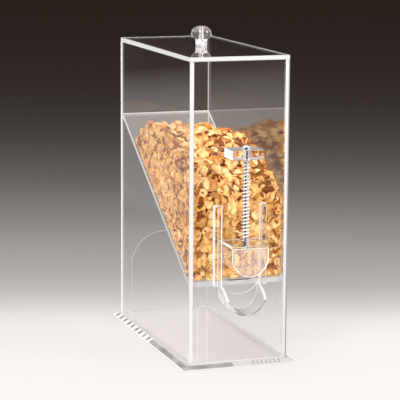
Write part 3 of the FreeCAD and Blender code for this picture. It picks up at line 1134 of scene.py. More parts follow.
@dataclass
class Lid:
    """The loose lid with its turned knob and the screw inside it."""

    shop: Workshop
    arris: float = 0.7 * MM
    turn_steps: int = 96
    head_radius: float = 14.3 * MM
    rim_radius: float = 8.4 * MM
    rim_steps: int = 28
    crown_start: float = 55.0
    crown_steps: int = 10
    neck_radius: float = 8 * MM
    neck_top_radius: float = 9.3 * MM
    neck_height: float = 9.8 * MM
    flare_height: float = 4.5 * MM
    flare_steps: int = 8
    foot_break: float = 0.4 * MM
    bore_radius: float = 2.6 * MM
    bore_depth: float = 23 * MM
    thread_pitch: float = 1.0 * MM
    thread_depth: float = 0.45 * MM
    screw_head_break: float = 0.9 * MM

    def build(self) -> None:
        """Build the lid's sheet, knob and screw."""
        mesh = block_between(*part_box("lid_plate"))
        marks = [(off_axis(Z_AXIS, 0.3), Dress.LID_EDGE), (off_axis(Z_AXIS), Dress.CORNER)]
        self.shop.sheet("lid_sheet", "lid_plate", mesh, Body.LID, marks, self.arris)
        self._knob()
        self._screw()

    def _knob(self) -> None:
        """The knob, a neck under a flattened ball, bored for its screw."""
        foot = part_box("lid_knob")[0].z + GLUE_LINE
        rim_r = self.head_radius - self.rim_radius
        under = -math.acos((self.neck_top_radius - rim_r) / self.rim_radius)
        neck_top = foot + self.neck_height
        rim_z = neck_top - self.rim_radius * math.sin(under)
        crown = math.radians(self.crown_start)
        bore, neck, flare_z = self.bore_radius, self.neck_radius, neck_top - self.flare_height
        mesh = bmesh.new()
        pen = Pen(mesh, (0, 0, foot + self.bore_depth), Y_AXIS)
        pen.to((bore, 0, foot + self.bore_depth), (bore, 0, foot), (neck - self.foot_break, 0, foot))
        pen.to((neck, 0, foot + self.foot_break), (neck, 0, flare_z))
        widening = self.neck_top_radius - neck
        flare = (self.flare_height ** 2 + widening ** 2) / (2 * widening)
        turn = math.degrees(math.asin(self.flare_height / flare))
        pen.arc((neck + flare, 0, flare_z), turn, self.flare_steps)
        pen.axis = -Y_AXIS
        pen.arc((rim_r, 0, rim_z), math.degrees(crown - under), self.rim_steps)
        pen.arc((0, 0, rim_z - rim_r * math.tan(crown)), 90 - self.crown_start, self.crown_steps)
        turn_solid(mesh, (0, 0, 0), self.turn_steps)
        mark_faces(mesh, [self._on_neck(bore + MM, neck_top)])
        dresses = [Dress.KNOB, Dress.NECK]
        self.shop.deliver("turned_knob", mesh, Body.LID, Slot.KNOB, dresses, ["lid_knob"], smooth=50)

    @staticmethod
    def _on_neck(bore: float, top: float) -> FaceTest:
        """A test for the neck's outer surface, outside a radius and under a height."""
        return lambda face: face.calc_center_median().xy.length > bore and face.calc_center_median().z < top

    def _screw(self) -> None:
        """The knob's screw, with its thread cut as close rings."""
        low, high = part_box("lid_knob_screw")
        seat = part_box("lid_plate")[0].z
        outer = self.bore_radius - 2 * GLUE_LINE
        inner = outer - self.thread_depth
        head, bevel, pitch = high.x, self.screw_head_break, self.thread_pitch
        mesh = bmesh.new()
        pen = Pen(mesh, (0, 0, low.z), -Y_AXIS)
        pen.to((head - bevel, 0, low.z), (head, 0, low.z + bevel), (head, 0, seat), (inner, 0, seat))
        for turn in range(int((high.z - seat) / pitch)):
            z = seat + turn * pitch
            pen.to((outer, 0, z + pitch / 2), (inner, 0, z + pitch))
        pen.to((0, 0, high.z))
        turn_solid(mesh, (0, 0, 0), self.turn_steps)
        self.shop.deliver("knob_screw", mesh, Body.LID, Slot.METAL, [Dress.CHROME], ["lid_knob_screw"])


# --- Rails, gate, handle and chute ----------------------------------------------------------------------


@dataclass
class Gate:
    """The sliding gate with its U-shaped handle, between two rails and over the chute."""

    shop: Workshop
    rail_arris: float = 0.3 * MM
    gate_arris: float = 0.2 * MM
    panel_arris: float = 0.7 * MM
    panel_bright: float = 0.45
    strip_arris: float = 0.25 * MM
    shelf_arris: float = 0.12 * MM
    handle_wall: float = 3 * MM
    rod_hole: float = 3.1 * MM
    rod_hole_sides: int = 32
    chute_wall: float = 3.1 * MM
    chute_arris: float = 0.2 * MM
    cheek_radius: float = 42.03 * MM
    cheek_steps: int = 14
    lip_drop: float = 22 * MM

    def build(self) -> None:
        """Build the rails, the gate, the handle and the chute."""
        for side, lit in (("left", along_axis(X_AXIS)), ("right", towards(-X_AXIS))):
            marks = [(lit, Dress.RAIL_EDGE), (towards(Z_AXIS), Dress.STRIP_EDGE)]
            for node in (side + "_rail_spacer", side + "_rail_cover"):
                mesh = block_between(*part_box(node))
                self.shop.sheet(node + "_strip", node, mesh, Body.TOWER, marks, self.rail_arris)
        edge = off_axis(Y_AXIS)
        self._bent("gate_sheet", "gate_plate", 0, self.gate_arris, [(edge, Dress.STRIP_EDGE)])
        marks = [(lambda face: edge(face) and face.normal.x < self.panel_bright, Dress.HANDLE_EDGE)]
        self._bent("handle_panel", "handle_face", 0, self.panel_arris, marks, Dress.VEILED_HANDLE)
        self._bent("handle_strip", "handle_trough", self.handle_wall, self.strip_arris)
        self._shelf()
        self._chute()

    def _bent(
        self, name: str, node: str, wall: float, arris: float, marks: Marks = (), clear: Dress = Dress.SHEET
    ) -> None:
        """A piece of the gate with a half-round lower end.

        Args:
            name: The piece's name.
            node: The CAD node that it replaces.
            wall: The thickness of a bent strip, or 0 for a flat plate.
            arris: The width of its arris.
            marks: Tests for its cut edges, each with the finish of the faces that pass.
            clear: The finish of its flat sides.
        """
        low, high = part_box(node)
        mesh = u_solid(low + Vector((0, GLUE_LINE, 0)), high - Vector((0, GLUE_LINE, GLUE_LINE)), wall)
        self.shop.sheet(name, node, mesh, Body.GATE, marks, arris, clear)

    def _shelf(self) -> None:
        """The plate over the handle, drilled for the rod."""
        low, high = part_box("handle_shelf")
        glue = Vector((0, GLUE_LINE, GLUE_LINE))
        mesh = drilled_plate(low + glue, high - glue, self.rod_hole, self.rod_hole_sides)
        marks = [(towards(-X_AXIS), Dress.STRIP_EDGE)]
        self.shop.sheet("handle_shelf_sheet", "handle_shelf", mesh, Body.GATE, marks, self.shelf_arris)

    def _chute(self) -> None:
        """The fixed trough, its cheeks rounded towards the front."""
        low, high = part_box("chute")
        mesh = u_solid(low, high - Vector((0, GLUE_LINE, 0)), self.chute_wall)
        pivot = Vector((0, high.y, high.z - self.cheek_radius))
        step = math.asin((high.y - low.y) / self.cheek_radius) / self.cheek_steps
        for number in range(self.cheek_steps):
            turn = step * (number + 0.5)
            outward = Vector((0, -math.sin(turn), math.cos(turn)))
            cut(mesh, pivot + outward * self.cheek_radius * math.cos(step / 2), outward, clear=True)
            close_holes(mesh)
        face_out(mesh)
        marks = [(self._lip(high.z - self.lip_drop), Dress.STRIP_EDGE)]
        self.shop.sheet("chute_strip", "chute", mesh, Body.TOWER, marks, self.chute_arris, Dress.CHUTE)

    @staticmethod
    def _lip(above: float) -> FaceTest:
        """A test for the cut edges of a bent strip.

        Args:
            above: The height over which they count.

        Returns:
            The test.
        """
        return lambda face: face.calc_center_median().z > above and (
            abs(face.normal.y) > 0.06 or face.normal.z > 0.5
        )


# --- Spring block, rod and spring -----------------------------------------------------------------------


@dataclass
class Returner:
    """The spring block on the front wall and the sprung rod of the gate."""

    shop: Workshop
    block_arris: float = 0.6 * MM
    block_arris_faces: int = 3
    bush_hole: float = 5.32 * MM
    bush_hole_sides: int = 48
    wire_radius: float = 0.7 * MM
    wire_sides: int = 10
    coil_radius: float = 5.2 * MM
    turns: int = 23
    steps_per_turn: int = 28
    gate_travel: float = 55 * MM
    cap_skirt: float = 3.4 * MM
    cap_break: float = 0.4 * MM
    cap_steps: int = 64
    dome_steps: int = 16

    def build(self) -> None:
        """Build the block, wind the spring, turn the cap and dress the metal."""
        self._block()
        self._spring()
        self._cap()
        metal = ("rod_bush", "guide_rod", "rod_upper_nut", "rod_lower_nut", "spring_washer")
        self.shop.dress(metal, Dress.CHROME)

    def _block(self) -> None:
        """The thick block with a hole for the bush."""
        low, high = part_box("spring_block")
        mesh = drilled_plate(low, high - Vector((0, GLUE_LINE, 0)), self.bush_hole, self.bush_hole_sides)
        marks = [(towards(-X_AXIS), Dress.BLOCK_END), (towards(-Z_AXIS), Dress.BLOCK_FOOT)]
        self.shop.sheet(
            "block_body", "spring_block", mesh, Body.TOWER, marks, self.block_arris, Dress.BLOCK,
            self.block_arris_faces,
        )

    def _spring(self) -> None:
        """The return spring, a round wire wound on a helix."""
        low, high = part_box("return_spring")
        axis = rod_middle()
        bottom, top = low.z + self.wire_radius, high.z - self.wire_radius
        pitch = (top - bottom) / self.turns
        mesh = bmesh.new()
        place = Matrix.Translation((self.coil_radius, axis.y, bottom)) @ Matrix.Rotation(math.pi / 2, 4, "X")
        ring = bmesh.ops.create_circle(mesh, segments=self.wire_sides, radius=self.wire_radius, matrix=place)
        bmesh.ops.spin(
            mesh, geom=ring["verts"] + mesh.edges[:], cent=axis, axis=Z_AXIS,
            dvec=(0, 0, pitch / self.steps_per_turn), angle=math.tau * self.turns,
            steps=self.steps_per_turn * self.turns,
        )
        close_holes(mesh)
        face_out(mesh)
        spring = self.shop.deliver(
            "wound_spring", mesh, Body.TOWER, Slot.SPRING, [Dress.WIRE], ["return_spring"], smooth=60
        )
        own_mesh(spring)

    def _cap(self) -> None:
        """The domed cap on the rod."""
        low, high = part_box("rod_cap")
        axis = rod_middle()
        y, radius, bevel = axis.y, high.x, self.cap_break
        dome = high.z - low.z - self.cap_skirt
        sphere = (radius * radius + dome * dome) / (2 * dome)
        start = math.degrees(math.acos(radius / sphere))
        mesh = bmesh.new()
        pen = Pen(mesh, (0, y, low.z), -Y_AXIS)
        pen.to((radius - bevel, y, low.z), (radius, y, low.z + bevel), (radius, y, low.z + self.cap_skirt))
        pen.arc((0, y, high.z - sphere), 90 - start, self.dome_steps)
        turn_solid(mesh, axis, self.cap_steps)
        self.shop.deliver("domed_cap", mesh, Body.GATE, Slot.METAL, [Dress.CHROME], ["rod_cap"])


# --- Flakes ---------------------------------------------------------------------------------------------


class Flake:
    """One baked flake, as a mesh that is copied many times."""

    TONE = "tone"
    RIM = "rim"
    CURL = (-0.3, 0.5)
    DISH = (-0.15, 0.35)
    TWIST = (-0.3, 0.3)
    STRETCH = (0.66, 0.92)
    THICKNESS = 0.08
    WOBBLE = 0.38
    BLISTER = 0.17

    def __init__(self, number: int, chance: random.Random) -> None:
        """Shape a flake.

        Args:
            number: The flake's number, for its name.
            chance: The source of its random shape.
        """
        mesh = bmesh.new()
        bmesh.ops.create_uvsphere(mesh, u_segments=12, v_segments=6, radius=1.0)
        curl, dish, twist, stretch = (
            chance.uniform(*span) for span in (self.CURL, self.DISH, self.TWIST, self.STRETCH)
        )
        seed = Vector((number * 7.3, number * 3.1, 0.0))
        rim = mesh.verts.layers.float.new(self.RIM)
        mesh.verts.layers.float.new(self.TONE)
        for vert in mesh.verts:
            x, y, z = vert.co
            out = math.hypot(x, y)
            vert[rim] = out ** 8
            wobble = 1.0 + self.WOBBLE * noise.noise(Vector((x, y, 0.0)) * 1.3 + seed) * out
            bend = curl * x * x + dish * y * y + twist * x * y
            blister = self.BLISTER * noise.noise(Vector((x, y, z * 0.2)) * 2.3 - seed)
            vert.co = Vector((x * wobble, y * wobble * stretch, z * self.THICKNESS + bend + blister))
        self.data = bpy.data.meshes.new(f"flake_pattern_{number}")
        mesh.to_mesh(self.data)
        mesh.free()

    def press(self, into: Mesh, place: Matrix, tone: float) -> None:
        """Add a copy of the flake to a mesh.

        Args:
            into: The mesh that it goes into.
            place: Its place, turn and size.
            tone: How golden it is, from 0 to 1, and how deep in shade past that, up to 2.
        """
        values = [tone] * len(self.data.vertices)
        self.data.attributes[self.TONE].data.foreach_set("value", values)
        self.data.transform(place)
        into.from_mesh(self.data)
        self.data.transform(place.inverted())


@dataclass(frozen=True)
class Coat:
    """How the flakes lie on one side of the heap.

    Attributes:
        tilts: The most that a flake leans, in degrees, layer by layer inwards.
        pressed: True if the outer layer touches a wall.
        golden: How golden the flakes are on average.
        closeness: Their spacing, as a share of the heap's own.
    """

    tilts: tuple[float, ...]
    pressed: bool = True
    golden: float = 0.25
    closeness: float = 1.0


Spot = Callable[[float, float], tuple[Vector, Vector] | None]


@dataclass
class Heap:
    """The flakes in the hopper: pressed flat on the walls, loose over the top, and a shaded mass within."""

    shop: Workshop
    seed: int = 11
    patterns: int = 14
    spacings: tuple[float, ...] = (11.8 * MM, 9.8 * MM, 9.6 * MM)
    row_pitch: float = 0.87
    jitter: float = 0.4
    flake_radius: Span = (6.2 * MM, 12.0 * MM)
    size_bias: float = 1.6
    lean_bias: float = 0.8
    wall_gap: float = 0.35 * MM
    layers: tuple[float, ...] = (0.0, 3.6 * MM, 8.0 * MM)
    shades: tuple[float, ...] = (0.0, 0.8, 1.85)
    tone_spread: float = 0.36
    uneven: float = 3.0 * MM
    standing: float = 5.0 * MM
    wall_push: float = 0.25
    crown_push: float = 0.3
    side_reach: float = 210 * MM
    front_reach: float = 150 * MM
    # The side coat's low golden paints the side flakes paler, partly their own tone and partly a painted
    # light veil of the side walls.
    side_coat: Coat = Coat((88, 80, 80), golden=-0.15, closeness=0.8)
    front_coat: Coat = Coat((36, 52, 75))
    floor_coat: Coat = Coat((22, 45))
    top_coat: Coat = Coat((75, 75, 80), pressed=False)
    core_depth: float = 9 * MM
    core_steps: int = 24
    core_toe: float = 2.2
    core_sink: float = 1.25
    front_height: Span = (254 * MM, 228 * MM)
    crest_height: Span = (306 * MM, 288 * MM)
    crest_bulge: float = 5 * MM
    crest_start: float = 122 * MM
    crest_end: float = 190 * MM
    crest_round: float = 0.25
    toe: float = 249 * MM
    toe_fall: float = 1.2
    roughness: float = 3.5 * MM
    rough_scales: Span = (55.0, 130.0)
    clearance: float = 2 * MM
    top_sink: float = 1.5 * MM
    chance: random.Random = field(init=False)
    kinds: list[Flake] = field(init=False)
    half: float = field(init=False)
    front: float = field(init=False)
    slope: float = field(init=False)

    def __post_init__(self) -> None:
        """Shape the flakes from the random source and read the hopper's walls."""
        self.chance = random.Random(self.seed)
        self.kinds = [Flake(number, self.chance) for number in range(self.patterns)]
        self.half = -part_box("left_wall")[1].x
        self.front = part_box("front_wall")[1].y
        low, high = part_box("hopper_floor")
        self.slope = (high.z - SILL) / (high.y - low.y)

    def floor(self, back: float) -> float:
        """The hopper floor's height at a distance behind the front wall."""
        return SILL + self.slope * back

    def top(self, x: float, back: float) -> float:
        """The heap's height at a place.

        Args:
            x: The place across the bin.
            back: Its distance behind the front wall.

        Returns:
            The height of the heap's surface.
        """
        across = (x + self.half) / (2 * self.half)
        spans = (self.front_height, self.crest_height)
        front, crest = (left + (right - left) * across for left, right in spans)
        crest += self.crest_bulge * 4.0 * across * (1.0 - across)
        if back < self.crest_start:
            share = back / self.crest_start
            rise = (1.0 + self.crest_round) * share - self.crest_round * share * share
            height = front + (crest - front) * rise
        elif back < self.crest_end:
            height = crest
        else:
            share = (back - self.crest_end) / (self.toe - self.crest_end)
            height = crest + (self.floor(self.toe) - crest) * share ** self.toe_fall
        coarse, fine = self.rough_scales
        rough = noise.noise(Vector((x, back, 3.0)) * coarse)
        rough += 0.5 * noise.noise(Vector((x, back, 8.0)) * fine)
        return height + self.roughness * rough

    def build(self) -> None:
        """Build the core and the flakes of every side."""
        self._core()
        wide, steep = 2 * self.half, math.hypot(1.0, self.slope)
        for name, side in (("left", -1), ("right", 1)):
            spot = self._side_spot(side)
            self._cover(name + "_side_flakes", self.toe, self.side_reach, spot, self.side_coat)
        self._cover("front_flakes", wide, self.front_reach, self._front_spot, self.front_coat)
        self._cover("hopper_side_flakes", wide, self.toe * steep, self._floor_spot, self.floor_coat)
        self._cover("top_flakes", wide, self.toe, self._top_spot, self.top_coat)
        for kind in self.kinds:
            bpy.data.meshes.remove(kind.data)

    def _core(self) -> None:
        """The mass within, drawn in from every side."""
        inset, steps = self.core_depth, self.core_steps
        mesh = bmesh.new()
        x = -self.half + inset
        backs = [inset + (self.toe - self.core_toe * inset) * step / steps for step in range(steps + 1)]
        points = [(x, self.front + back, self.top(0.0, back) - inset * self.core_sink) for back in backs]
        points += [(x, self.front + back, self.floor(back) + inset) for back in (backs[-1], backs[0])]
        Pen(mesh, points[0], X_AXIS).to(*points[1:]).close()
        raise_solid(mesh, (2 * (self.half - inset), 0, 0))
        self.shop.deliver(
            "flake_core", mesh, Body.TOWER, Slot.FLAKES, [Dress.CORE], ["cereal_fill"], smooth=40
        )

    def _spots(self, wide: float, tall: float, spacing: float) -> list[tuple[float, float]]:
        """Jittered places over a rectangle, in a random order.

        Args:
            wide: The rectangle's first side.
            tall: Its second side.
            spacing: How far apart they are on average.

        Returns:
            The places.
        """
        spots = []
        columns, rows = int(wide / spacing) + 1, int(tall / (spacing * self.row_pitch)) + 1
        for row in range(rows):
            for column in range(columns):
                aside, along = (self.chance.uniform(-self.jitter, self.jitter) * spacing for _ in range(2))
                u = (column + 0.5 * (row % 2)) * spacing + aside
                v = row * spacing * self.row_pitch + along
                if 0 <= u <= wide and 0 <= v <= tall:
                    spots.append((u, v))
        self.chance.shuffle(spots)
        return spots

    def _cover(self, name: str, wide: float, tall: float, spot: Spot, coat: Coat) -> None:
        """Cover one side of the heap with flakes and deliver them.

        Args:
            name: The piece's name.
            wide: The side's width.
            tall: Its other length.
            spot: Gives the place and the outward direction at two distances along the side.
            coat: How the flakes lie.
        """
        mesh = bmesh.new()
        for layer, tilt in enumerate(coat.tilts):
            for u, v in self._spots(wide, tall, self.spacings[layer] * coat.closeness):
                found = spot(u, v)
                if found:
                    self._lay(mesh, *found, tilt, layer, coat)
        self._hold(mesh)
        self.shop.deliver(name, mesh, Body.TOWER, Slot.FLAKES, [Dress.FLAKE], ["cereal_fill"], smooth=70)

    def _lay(self, mesh: Mesh, place: Vector, outward: Vector, tilt: float, layer: int, coat: Coat) -> None:
        """Lay one flake with its face towards a direction.

        Args:
            mesh: The mesh that it goes into.
            place: Where it goes.
            outward: The direction that its face looks in.
            tilt: The most that it leans, in degrees.
            layer: The number of its layer, from the surface inwards.
            coat: How the flakes lie.
        """
        chance = self.chance
        kind = chance.choice(self.kinds)
        small, large = self.flake_radius
        radius = small + (large - small) * chance.random() ** self.size_bias
        lean = Matrix.Rotation(math.radians(tilt) * chance.random() ** self.lean_bias, 4, "X")
        spin = Matrix.Rotation(chance.uniform(0, math.tau), 4, "Z")
        swing = Matrix.Rotation(chance.uniform(0, math.tau), 4, "Z")
        turn = outward.to_track_quat("Z", "Y").to_matrix().to_4x4() @ swing @ lean @ spin
        if chance.random() < 0.5:
            turn = turn @ Matrix.Rotation(math.pi, 4, "X")
        shaped = turn @ Matrix.Diagonal((radius, radius, radius, 1.0))
        reach = self.layers[layer] + chance.uniform(0.0, self.uneven)
        if coat.pressed and layer == 0:
            reach += max((shaped @ v.co).dot(outward) for v in kind.data.vertices)
        tone = max(0.0, chance.gauss(coat.golden, self.tone_spread)) + self.shades[layer]
        kind.press(mesh, Matrix.Translation(place - outward * reach) @ shaped, tone)

    def _hold(self, mesh: Mesh) -> None:
        """Hold the flakes off the walls and the floor, and press down what stands too high.

        Args:
            mesh: The flakes of one side.
        """
        limit_x, limit_y = self.half - self.wall_gap, self.front + self.wall_gap
        for vert in mesh.verts:
            if vert.co.x > limit_x:
                vert.co.x = limit_x - (vert.co.x - limit_x) * self.wall_push
            elif vert.co.x < -limit_x:
                vert.co.x = -limit_x + (-limit_x - vert.co.x) * self.wall_push
            if vert.co.y < limit_y:
                vert.co.y = limit_y + (limit_y - vert.co.y) * self.wall_push
            floor = self.floor(vert.co.y - self.front) + self.wall_gap
            if vert.co.z < floor:
                vert.co.z = floor + (floor - vert.co.z) * self.wall_push
            crown = self.top(vert.co.x, max(vert.co.y - self.front, 0.0)) + self.standing
            if vert.co.z > crown:
                vert.co.z = crown + (vert.co.z - crown) * self.crown_push

    def _side_spot(self, side: int) -> Spot:
        """Places on one side wall.

        Args:
            side: -1 for the left wall, 1 for the right.

        Returns:
            What gives the place and the direction at a distance back and a height.
        """
        def spot(back: float, rise: float) -> tuple[Vector, Vector] | None:
            """The place on the wall, or None off the heap.

            Args:
                back: The distance behind the front wall.
                rise: The height over the outlet's sill.

            Returns:
                The place and the direction outwards.
            """
            z = SILL + rise
            place = Vector((side * (self.half - self.wall_gap), self.front + back, z))
            inside = self.floor(back) + self.clearance < z < self.top(place.x, back) - MM
            return (place, Vector((side, 0, 0))) if inside else None

        return spot

    def _front_spot(self, across: float, rise: float) -> tuple[Vector, Vector] | None:
        """A place on the front wall, or None above the heap.

        Args:
            across: The distance from the left wall.
            rise: The height over the outlet's sill.

        Returns:
            The place and the direction outwards.
        """
        x, z = across - self.half, SILL + rise
        place = Vector((x, self.front + self.wall_gap, z))
        return (place, Vector((0, -1, 0))) if z < self.top(x, 0.0) - MM else None

    def _floor_spot(self, across: float, down: float) -> tuple[Vector, Vector] | None:
        """A place on the hopper floor, or None past the heap.

        Args:
            across: The distance from the left wall.
            down: The distance along the slope.

        Returns:
            The place and the direction outwards.
        """
        back = down / math.hypot(1.0, self.slope)
        place = Vector((across - self.half, self.front + back, self.floor(back) + self.wall_gap))
        outward = Vector((0, self.slope, -1)).normalized()
        return (place, outward) if place.z < self.top(place.x, back) else None

    def _top_spot(self, across: float, back: float, step: float = 4 * MM) -> tuple[Vector, Vector] | None:
        """A place on the heap's top, or None past its toe.

        Args:
            across: The distance from the left wall.
            back: The distance behind the front wall.
            step: How far apart two heights are read for the slope.

        Returns:
            The place and the direction outwards.
        """
        x = across - self.half
        here = self.top(x, back)
        if here < self.floor(back) + self.clearance:
            return None
        ahead = (self.top(x, back + step) - here) / step
        aside = (self.top(x + step, back) - here) / step
        outward = Vector((-aside, -ahead, 1.0)).normalized()
        return Vector((x, self.front + back, here - self.top_sink)), outward


# --- Stage ----------------------------------------------------------------------------------------------


@dataclass(frozen=True)
class SoftBox:
    """A square lamp that lights the bin and isn't itself seen."""

    name: str
    place: tuple[float, float, float]
    size: float
    power: float

    def build(self, aim: Vector) -> None:
        """Hang the lamp.

        Args:
            aim: The point that it looks at.
        """
        light = bpy.data.lights.new(self.name, "AREA")
        light.shape = "SQUARE"
        light.size = self.size
        light.energy = self.power
        lamp = bpy.data.objects.new(self.name, light)
        bpy.context.scene.collection.objects.link(lamp)
        lamp.location = self.place
        lamp.rotation_euler = (aim - Vector(self.place)).to_track_quat("-Z", "Y").to_euler()
        lamp.visible_camera = False


@dataclass
class Stage:
    """The pale floor that falls away into the dark, the lamps and the camera."""

    floor_reach: float = 40.0
    floor_drop: float = 0.25 * MM
    floor_colour: Colour = (0.8, 0.8, 0.79)
    floor_shine: float = 0.69
    floor_matt: Colour = (0.22, 0.22, 0.22)
    view_turn: float = 18.924
    view_drop: float = 10.045
    view_roll: float = 0.331
    camera_place: tuple[float, float, float] = (-0.8138, -2.3721, 0.6439)
    lens: float = 162.17
    film: float = 36.0
    clip: Span = (0.05, 200.0)
    aim: tuple[float, float, float] = (0.0, 0.0, 0.24)
    boxes: tuple[SoftBox, ...] = (
        SoftBox("left_box", (-1.8, -1.6, 1.9), 0.6, 46.0),
        SoftBox("right_box", (1.7, -1.5, 1.3), 0.8, 38.0),
        SoftBox("top_box", (-0.45, 0.0, 2.0), 0.9, 8.0),
    )
    ambient: float = 1.05
    backdrop: Colour = (0.022, 0.0155, 0.0145)
    far_light: float = 0.012
    far_tint: Colour = (0.0105, 0.0028, 0.0)
    pools: tuple[tuple[float, float, float], ...] = ((0.418, 0.5, 8.0), (0.4525, 1.2, 3.3))
    pool_tint: Colour = (1.0, 0.972, 0.95)
    pool_sides: float = 6.0
    pool_back: float = 0.3
    side_glow: Ramp = (0.34, 0.59, 0.0, 0.4)
    side_narrowing: float = 0.12
    side_end: Span = (3.4, 2.4)
    before: Span = (0.45, 0.9)
    grey_panel: Ramp = (0.48, 0.64, 0.04, 0.3)
    pale_panel: Ramp = (0.85, 1.1, 0.0, 0.75)
    panel_near: Ramp = (1.15, 1.55, 0.25, 1.0)
    panel_rise: Span = (-0.66, -0.45)
    overhead: Span = (0.5, 0.85)
    glimmer_foot: Span = (0.08, 0.14)
    glimmer_head: Span = (0.4, 0.25)
    glimmer_depth: Ramp = (-0.8, -0.95, 0.0, 1.0)
    glimmer_side: Ramp = (-0.03, 0.04, 0.12, 0.02)
    warm: Colour = (1.2, 0.93, 0.86)
    plain: Colour = (1.0, 0.98, 0.97)
    plain_from: Span = (0.35, 0.9)

    def build(self) -> None:
        """Build the floor, the world, the lamps and the camera."""
        self._floor()
        self._world()
        for box in self.boxes:
            box.build(Vector(self.aim))
        self._camera()

    def _floor(self) -> None:
        """A wide floor whose light falls off around the bin."""
        mesh = bmesh.new()
        place = Matrix.Translation((0, 0, -self.floor_drop))
        bmesh.ops.create_grid(mesh, x_segments=2, y_segments=2, size=self.floor_reach, matrix=place)
        data = bpy.data.meshes.new("floor")
        mesh.to_mesh(data)
        mesh.free()
        data.materials.append(self._floor_material())
        floor = bpy.data.objects.new("floor", data)
        bpy.context.scene.collection.objects.link(floor)

    def _panels(self, bench: Bench, aside: object, nearer: object, share: object = 1.0) -> Socket:
        """The studio before the bin: dark straight ahead, then grey, then a pale panel on each side.

        Args:
            bench: The bench of the floor or of the world.
            aside: How far to the side of the line of sight, never negative.
            nearer: How far before the bin along it.
            share: How much of the grey shows.

        Returns:
            The light level.
        """
        slant = bench.sum("DIVIDE", aside, bench.highest(nearer, 0.02))
        grey = bench.times(bench.range(slant, *self.grey_panel), share)
        return bench.plus(grey, bench.range(slant, *self.pale_panel))

    def _warmed(self, bench: Bench, light: object) -> Socket:
        """A studio light level as a colour, warm where it is dim."""
        tint = bench.mix(bench.mask(light, *self.plain_from), rgba(self.warm), rgba(self.plain))
        return bench.mix(1.0, tint, light, "MULTIPLY")

    @staticmethod
    def _seen(bench: Bench) -> Socket:
        """1 for the rays that show the studio, 0 for those that only light the bin."""
        return bench.rays("Is Camera Ray", "Is Glossy Ray", "Is Transmission Ray")

    def _level(self, bench: Bench) -> Socket:
        """The floor's light: a pale pool round the bin that falls off into the dark behind it.

        Args:
            bench: The floor material's bench.

        Returns:
            The light as a colour.
        """
        x, y, _ = bench.split(bench.mapped(bench.here(), turn=math.radians(self.view_turn)))
        aside = bench.sum("ABSOLUTE", x)
        away = bench.highest(bench.plus(y, self.pool_back), 0.0)
        nearer = bench.times(y, -1.0)
        both = bench.plus(*(bench.sum("POWER", side, self.pool_sides) for side in (aside, away)))
        reach = bench.sum("POWER", both, 1.0 / self.pool_sides)
        light: object = self.far_light
        for strength, radius, fall in self.pools:
            spread = bench.sum("POWER", bench.sum("DIVIDE", reach, radius), fall)
            light = bench.plus(light, bench.sum("DIVIDE", strength, bench.plus(spread, 1.0)))
        beside = bench.minus(aside, bench.times(away, self.side_narrowing))
        glow = bench.times(bench.range(beside, *self.side_glow), bench.mask(away, *self.side_end))
        pool = bench.mix(1.0, rgba(self.pool_tint), bench.highest(light, glow), "MULTIPLY")
        lifted = bench.mix(1.0, pool, rgba(self.far_tint), "ADD")
        panels = self._panels(bench, aside, nearer, bench.range(nearer, *self.panel_near))
        return bench.mix(bench.mask(nearer, *self.before), lifted, self._warmed(bench, panels))

    def _floor_material(self) -> Material:
        """The floor's material: a pale floor for light, the falling pool for sight.

        Returns:
            The material.
        """
        desk = Desk("Pale floor")
        desk.paint({"Base Color": rgba(self.floor_colour), "Roughness": 0.9})
        tint = self._level(desk)
        glow = desk.join("ShaderNodeEmission", tint, self.floor_shine)
        matt = desk.join("ShaderNodeBsdfDiffuse", desk.mix(1.0, tint, rgba(self.floor_matt), "MULTIPLY"))
        desk.swap(self._seen(desk), desk.join("ShaderNodeAddShader", glow, matt))
        desk.material.cycles.emission_sampling = "NONE"
        return desk.material

    def _world(self) -> None:
        """A studio that is dark behind the bin, pale before it and bright overhead."""
        world = bpy.data.worlds.new("Studio")
        bpy.context.scene.world = world
        world.use_nodes = True
        world.node_tree.nodes.clear()
        bench = Bench(world.node_tree)
        x, y, z = bench.split(bench.add("ShaderNodeTexCoord").outputs["Generated"])
        turn = math.radians(self.view_turn)
        aside = bench.minus(bench.times(x, math.cos(turn)), bench.times(y, math.sin(turn)))
        nearer = bench.plus(bench.times(x, -math.sin(turn)), bench.times(y, -math.cos(turn)))
        panels = self._panels(bench, bench.sum("ABSOLUTE", aside), nearer)
        front = bench.times(panels, bench.mask(nearer, *self.panel_rise))
        above = bench.mask(z, *self.overhead)
        low = bench.times(bench.mask(z, *self.glimmer_foot), bench.mask(z, *self.glimmer_head))
        behind = bench.times(low, bench.range(nearer, *self.glimmer_depth))
        glimmer = bench.times(behind, bench.range(aside, *self.glimmer_side))
        lights = self._warmed(bench, bench.highest(front, above, glimmer))
        studio = bench.mix(1.0, rgba(self.backdrop), lights, "ADD")
        shown = bench.mix(self._seen(bench), rgba((self.ambient,) * 3), studio)
        output = bench.add("ShaderNodeOutputWorld")
        bench.feed(output.inputs["Surface"], bench.join("ShaderNodeBackground", shown))

    def _camera(self) -> None:
        """The camera, turned to the left of the front and looking a little down."""
        turn, drop, roll = (math.radians(a) for a in (self.view_turn, self.view_drop, self.view_roll))
        ahead = Vector((math.sin(turn) * math.cos(drop), math.cos(turn) * math.cos(drop), -math.sin(drop)))
        right = ahead.cross(Z_AXIS).normalized()
        up = right.cross(ahead)
        across = right * math.cos(roll) + up * math.sin(roll)
        upward = up * math.cos(roll) - right * math.sin(roll)
        view = Matrix((across, upward, -ahead)).transposed().to_4x4()
        data = bpy.data.cameras.new("camera")
        data.lens = self.lens
        data.sensor_width = self.film
        data.clip_start, data.clip_end = self.clip
        camera = bpy.data.objects.new("camera", data)
        camera.matrix_world = Matrix.Translation(self.camera_place) @ view
        bpy.context.scene.collection.objects.link(camera)
        bpy.context.scene.camera = camera


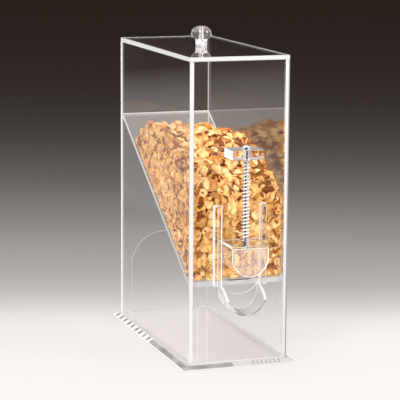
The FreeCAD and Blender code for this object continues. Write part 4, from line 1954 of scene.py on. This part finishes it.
def light_paths() -> None:
    """Let light pass through as many sheets as the bin has, and leave out caustics."""
    cycles = bpy.context.scene.cycles
    cycles.max_bounces = 24
    cycles.transmission_bounces = 24
    cycles.glossy_bounces = 10
    cycles.diffuse_bounces = 4
    cycles.transparent_max_bounces = 32
    cycles.caustics_reflective = False
    cycles.caustics_refractive = False


def main() -> None:
    """Build the bin around its frame and report each piece."""
    logging.basicConfig(level=logging.INFO, format="%(message)s")
    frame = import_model()
    for spare in [o for o in bpy.data.objects if o.name in ("Cube", "Light", "Camera")]:
        bpy.data.objects.remove(spare)
    bpy.context.scene.view_settings.view_transform = "Standard"
    light_paths()
    shop = Workshop(frame["nodes"])
    for section in (Tower, Lid, Gate, Returner, Heap):
        section(shop).build()
    Stage().build()
    bpy.context.view_layer.update()


if __name__ == "__main__":
    main()
